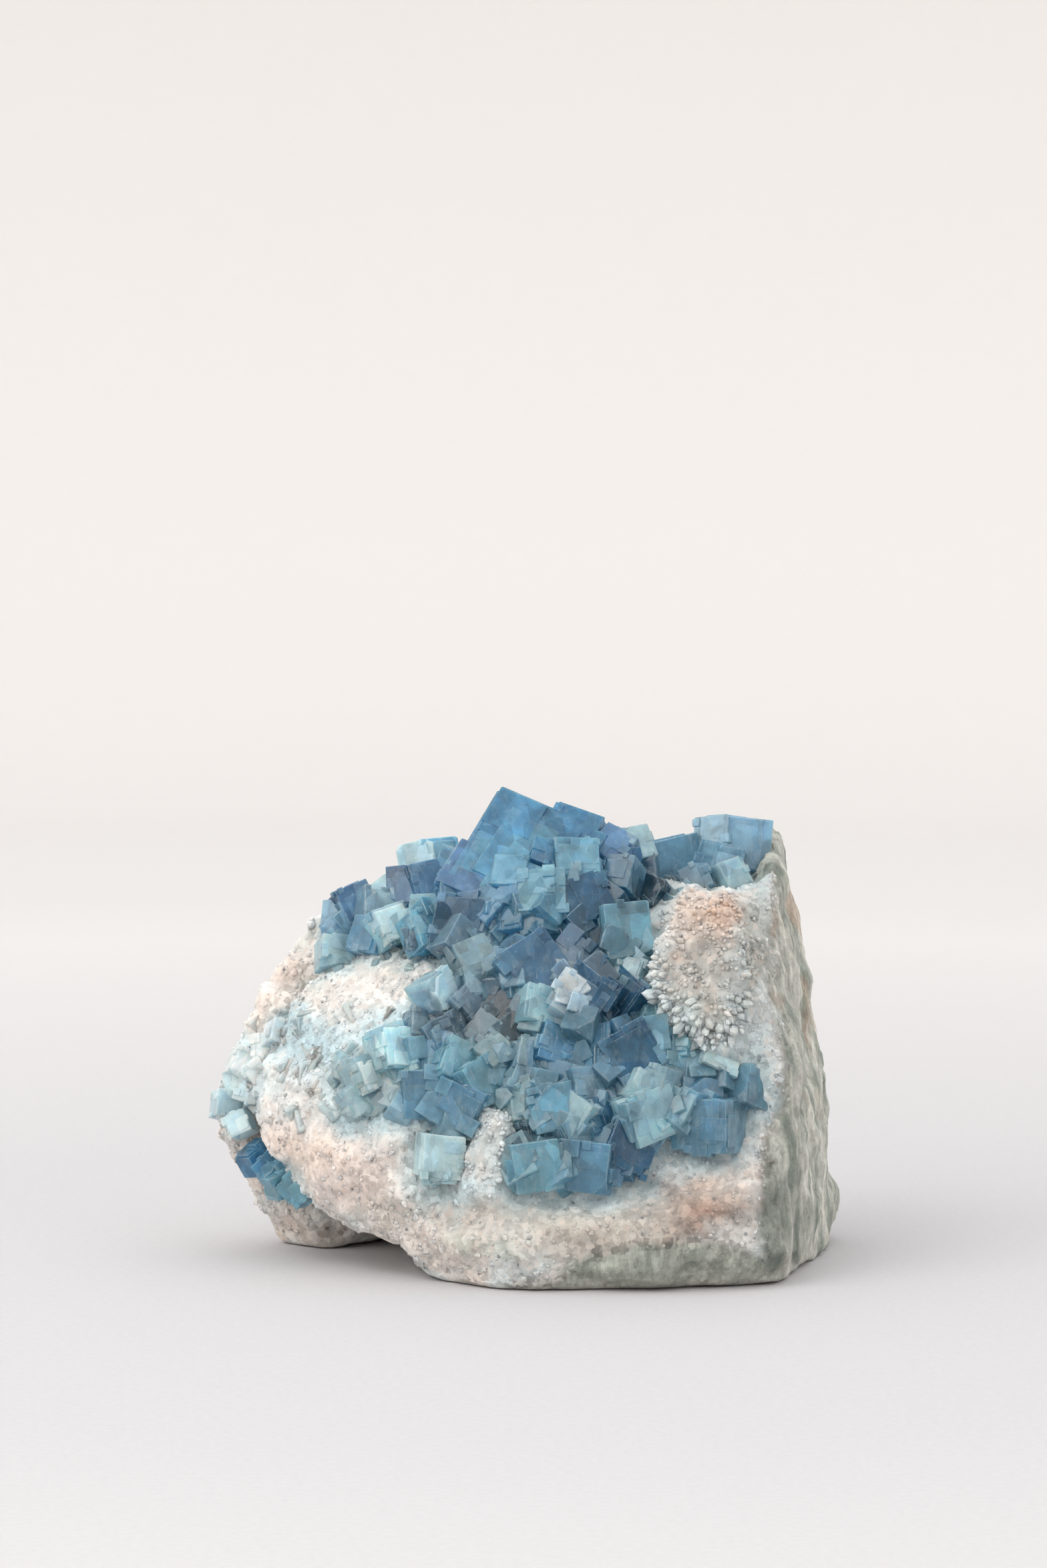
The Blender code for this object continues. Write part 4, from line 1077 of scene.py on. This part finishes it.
def knob_share(place):
    """1 on the quartz knob at the upper right, 0 off it."""
    return smoothstep(1.15 - off_centre(place, KNOB, KNOB_HALF), 0, 0.3) if place.y < 0 else 0.0


def fringe_share(place):
    """1 along the left and lower rim of the knob, where its points stand out like a fringe."""
    across, up = on_plane(place)
    ring = smoothstep(0.55 - abs(off_centre(place, KNOB, FRINGE_HALF) - 0.95), 0, 0.35)
    ring = ring * smoothstep(54 - up, 0, 4) * smoothstep(40 - across, 0, 2)
    return ring if place.y < 0 else 0.0


def boss_share(place):
    """1 on the pink quartz boss in the lower middle."""
    return smoothstep(1.1 - off_centre(place, BOSS, BOSS_HALF), 0, 0.3) if place.y < 0 else 0.0


def lit(colour, low, high):
    """A colour with its own light, for one grain."""
    light = spots_rng.uniform(low, high)
    return tuple(min(1.0, part * light) for part in colour)


def drawn_places(tries):
    """Points of the stone drawn by chance."""
    for _ in range(tries):
        index = spots_rng.randrange(len(moved_places))
        yield index, moved_places[index]


grain_spots, point_spots = [], []
for index, place in drawn_places(STONE_TRIES):
    knob = max(knob_share(place), boss_share(place))
    clean = (1 - schist[index]) * smoothstep(place.z, 1.2, 3.0)
    patchy = smoothstep(noise.noise(place / 8 + Vector((9, 0, 0))), -0.35, 0.25)
    if spots_rng.random() > clean * max(knob, 0.3 + 0.7 * patchy):
        continue
    size = 0.5 + 0.55 * spots_rng.random() + 1.1 * spots_rng.random() ** 7
    size = [size * spots_rng.uniform(0.7, 1.25) for _ in range(3)]
    colour = lit(stone[index][:3], 0.92, 1.12)
    sunk = (0.24 - 0.2 * knob) * size[2]
    grain_spots.append((set_into(index, size, 0.6, sunk), colour, 0.0))
    if len(grain_spots) == QUARTZ_GRAINS:
        break

for index, place in drawn_places(STONE_TRIES):
    fringe = fringe_share(place)
    share = max(fringe, 0.08 * knob_share(place), 0.05 * boss_share(place)) * (1 - schist[index])
    if spots_rng.random() > share:
        continue
    size = spots_rng.uniform(0.7, 1.2) + fringe * spots_rng.uniform(0.4, 1.5)
    wide = size * spots_rng.uniform(1.0, 1.5)
    colour = lit(stone[index][:3], 0.96, 1.15)
    away = Vector((place.x - KNOB[0], 0, place.z - KNOB[1])).normalized() * fringe
    point_spots.append((set_into(index, (wide, wide, size), 0.25, 0.4 * size, away), colour, 0.0))
    if len(point_spots) == QUARTZ_POINTS:
        break

grain_material = stone_material("sugary_quartz_grains", clear=True)
scatter("sugary_quartz_grains", [grain_shape(seed) for seed in range(9)], grain_spots, "stone",
        grain_material)
scatter("quartz_points", [point_shape(seed) for seed in range(7)], point_spots, "stone",
        grain_material)

# %% Small fluorite cubes along the edge of the druse
def slab_share(place):
    """1 on the pale upper part of the left slab, which is half quartz and half pale fluorite."""
    across, up = on_plane(place)
    if place.y > 12 or across > -16:
        return 0.0
    return smoothstep(1.1 - abs(up - 34 - 0.12 * (across + 30)) / 11, 0, 0.5)


cube_spots, slab_spots = [], []
for index, place in drawn_places(CUBE_TRIES):
    across, up = on_plane(place)
    free = (1 - schist[index]) * smoothstep(place.z, 3, 7) * (1 - 0.9 * knob_share(place))
    near = smoothstep(2.6 - crystal_gap[index], 0, 1.8)
    near = near * smoothstep(39 - across, 0, 2) * smoothstep(up, 24, 28)
    if len(cube_spots) < SMALL_CUBES and spots_rng.random() < near * free:
        size = spots_rng.uniform(0.7, 2.0)
        colour, milk = druse_colour(across, up)
        colour = mixed(colour, AQUA, spots_rng.uniform(0.1, 0.5))
        matrix = set_into(index, (size, size, size), 0.7, 0.25 * size)
        cube_spots.append((matrix, varied(colour, spots_rng), milk))
    elif len(slab_spots) < SLAB_CUBES and spots_rng.random() < slab_share(place) * free:
        size = spots_rng.uniform(2.0, 4.6)
        colour = mixed(AQUA, stone[index][:3], spots_rng.uniform(0.35, 0.9))
        matrix = set_into(index, (size, size, size), 0.5, 0.53 * size)
        slab_spots.append((matrix, varied(colour, spots_rng, 0.05), 1.0))
    if len(cube_spots) == SMALL_CUBES and len(slab_spots) == SLAB_CUBES:
        break
scatter("small_fluorite_cubes", [cube_shape()], cube_spots, "tint", fluorite)
scatter("pale_cubes_in_the_slab", [cube_shape()], slab_spots, "tint", pale_fluorite)

# %% [markdown]
# Inside the milky crystals lie veils, which are cracks that healed while they grew. They are thin flakes a
# millimetre or more under the faces, and they show a little through the skin.

# %% Veils inside the crystals
veil_rng = random.Random(5)
veils = bmesh.new()
for row in CLUMPS["fluorite_druse"]:
    across, up, back, edge = row[:4]
    milk = druse_colour(across, up)[1]
    for _ in range(int(4 * milk - 0.6)):
        inward = veil_rng.uniform(0.8, 0.3 * edge)
        place = seen_at(across + veil_rng.uniform(-0.3, 0.3) * edge, up + veil_rng.uniform(-0.3, 0.3) * edge,
                        back + inward)
        turn = Vector([veil_rng.gauss(0, 1) for _ in range(3)]).to_track_quat("Z", "Y").to_matrix().to_4x4()
        size = edge * veil_rng.uniform(0.2, 0.36)
        flat = Matrix.Diagonal((size * veil_rng.uniform(0.5, 1.4), size, 0.05, 1))
        matrix = Matrix.Scale(MM, 4) @ Matrix.Translation(place) @ turn @ flat
        bmesh.ops.create_icosphere(veils, subdivisions=1, radius=0.5, matrix=matrix)
veil = object_from(veils, "milky_veils_inside")
veil_look, tree, veil_shader = new_material("healed_cracks")
veil_noise = noise_at(tree, node(tree, "ShaderNodeTexCoord").outputs["Object"], 1200.0, 4.0, 0.6)
veil_tone = mix_colour(tree, ramp(tree, veil_noise, 0.3, 0.7), paint(176, 208, 220), paint(236, 244, 246))
fill(tree, veil_shader, {"Base Color": veil_tone, "Roughness": 0.4})
veil.data.materials.append(veil_look)
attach(veil, "root")
print("veils:", len(veil.data.polygons), "faces")

# %% [markdown]
# ## Table, light and camera
#
# The piece stands on a pale sheet that rises all round it without an edge; its paper is painted darker close
# to the piece and lighter far out and on the rise, as painted light. One large soft lamp stands at the upper
# left in front, a weak one fills from the right, and the rest is the light of a bright room.

# %% The pale sheet
SHEET_FLAT, SHEET_RISE, SHEET_TOP = 1.5, 0.7, 1.8
RISE_STEPS, TURN_STEPS = 12, 72
shape = bmesh.new()
corner = shape.verts.new((0, 0, 0))
rim = [shape.verts.new((SHEET_FLAT, 0, 0))]
for step in range(1, RISE_STEPS + 1):
    angle = math.radians(90 * step / RISE_STEPS)
    rim.append(shape.verts.new((
        SHEET_FLAT + SHEET_RISE * math.sin(angle), 0, SHEET_RISE * (1 - math.cos(angle))
    )))
rim.append(shape.verts.new((SHEET_FLAT + SHEET_RISE, 0, SHEET_TOP)))
edges = [shape.edges.new(pair) for pair in zip([corner] + rim[:-1], rim)]
bmesh.ops.spin(
    shape, geom=shape.verts[:] + edges, axis=(0, 0, 1), cent=(0, 0, 0), angle=math.tau, steps=TURN_STEPS,
    use_merge=True,
)
bmesh.ops.remove_doubles(shape, verts=shape.verts, dist=0.0001)
for face in shape.faces:
    face.smooth = True
sheet = object_from(shape, "pale_sheet")
print("sheet:", len(sheet.data.polygons), "faces")

# %% Its paper, with painted light: darker near the piece, lighter far out and on the rise
PAPER_NEAR, PAPER_FLECK = paint(190, 188, 189), paint(194, 192, 193)
PAPER_FAR_PAINTED_LIGHT, PAPER_RISEN_PAINTED_LIGHT = paint(214, 211, 209), paint(226, 222, 219)
sheet_material, tree, paper = new_material("pale_paper")
on_sheet = node(tree, "ShaderNodeTexCoord").outputs["Object"]
fleck = ramp(tree, noise_at(tree, on_sheet, 900.0, 2.0, 0.5), 0.3, 0.7)
far = node(tree, "ShaderNodeVectorMath", {0: on_sheet}, operation="LENGTH").outputs["Value"]
tone = mix_colour(tree, fleck, PAPER_NEAR, PAPER_FLECK)
tone = mix_colour(tree, ramp(tree, far, 0.15, 0.7), tone, PAPER_FAR_PAINTED_LIGHT)
tone = mix_colour(tree, ramp(tree, far, 0.9, 1.95), tone, PAPER_RISEN_PAINTED_LIGHT)
fill(tree, paper, {"Base Color": tone, "Roughness": 0.9, "Specular IOR Level": 0.1})
sheet.data.materials.append(sheet_material)

# %% Light
ROOM_COLOUR, ROOM_STRENGTH = (0.97, 0.985, 1.0, 1), 1.5
LIT_PLACE = (0, 0, 0.04)
world = bpy.data.worlds.new("bright room")
world.use_nodes = True
world.node_tree.nodes["Background"].inputs["Color"].default_value = ROOM_COLOUR
world.node_tree.nodes["Background"].inputs["Strength"].default_value = ROOM_STRENGTH
bpy.context.scene.world = world


def soft_lamp(name, place, side, power, colour):
    """A square lamp that shines on the piece; its side is in metres and its power in watts."""
    lamp = bpy.data.lights.new(name, "AREA")
    lamp.shape = "RECTANGLE"
    lamp.size = lamp.size_y = side
    lamp.energy = power
    lamp.color = colour
    obj = bpy.data.objects.new(name, lamp)
    bpy.context.scene.collection.objects.link(obj)
    obj.location = place
    obj.rotation_euler = (Vector(LIT_PLACE) - Vector(place)).to_track_quat("-Z", "Y").to_euler()


soft_lamp("window", (-0.75, -0.65, 0.85), 1.0, 9.0, (1.0, 0.985, 0.96))
soft_lamp("fill", (0.9, -0.7, 0.45), 0.9, 2.1, (0.95, 0.98, 1.0))

# %% Camera
LENS, SENSOR, LOOKS_DOWN = 85, 36, 2.208
PHOTO_HEIGHT, ASIDE_PIXELS = 2349, 2
eye_far, eye_up = -EYE.y * MM, EYE.z * MM
camera = bpy.data.objects.new("camera", bpy.data.cameras.new("camera"))
bpy.context.scene.collection.objects.link(camera)
camera.data.lens = LENS
camera.data.sensor_width = SENSOR
camera.location = (ASIDE_PIXELS / (LENS * PHOTO_HEIGHT / SENSOR) * eye_far, -eye_far, eye_up)
camera.rotation_euler = (math.radians(90 - LOOKS_DOWN), 0, 0)
camera.data.clip_start, camera.data.clip_end = 0.01, 20
bpy.context.scene.camera = camera
bpy.context.scene.view_settings.view_transform = "Standard"
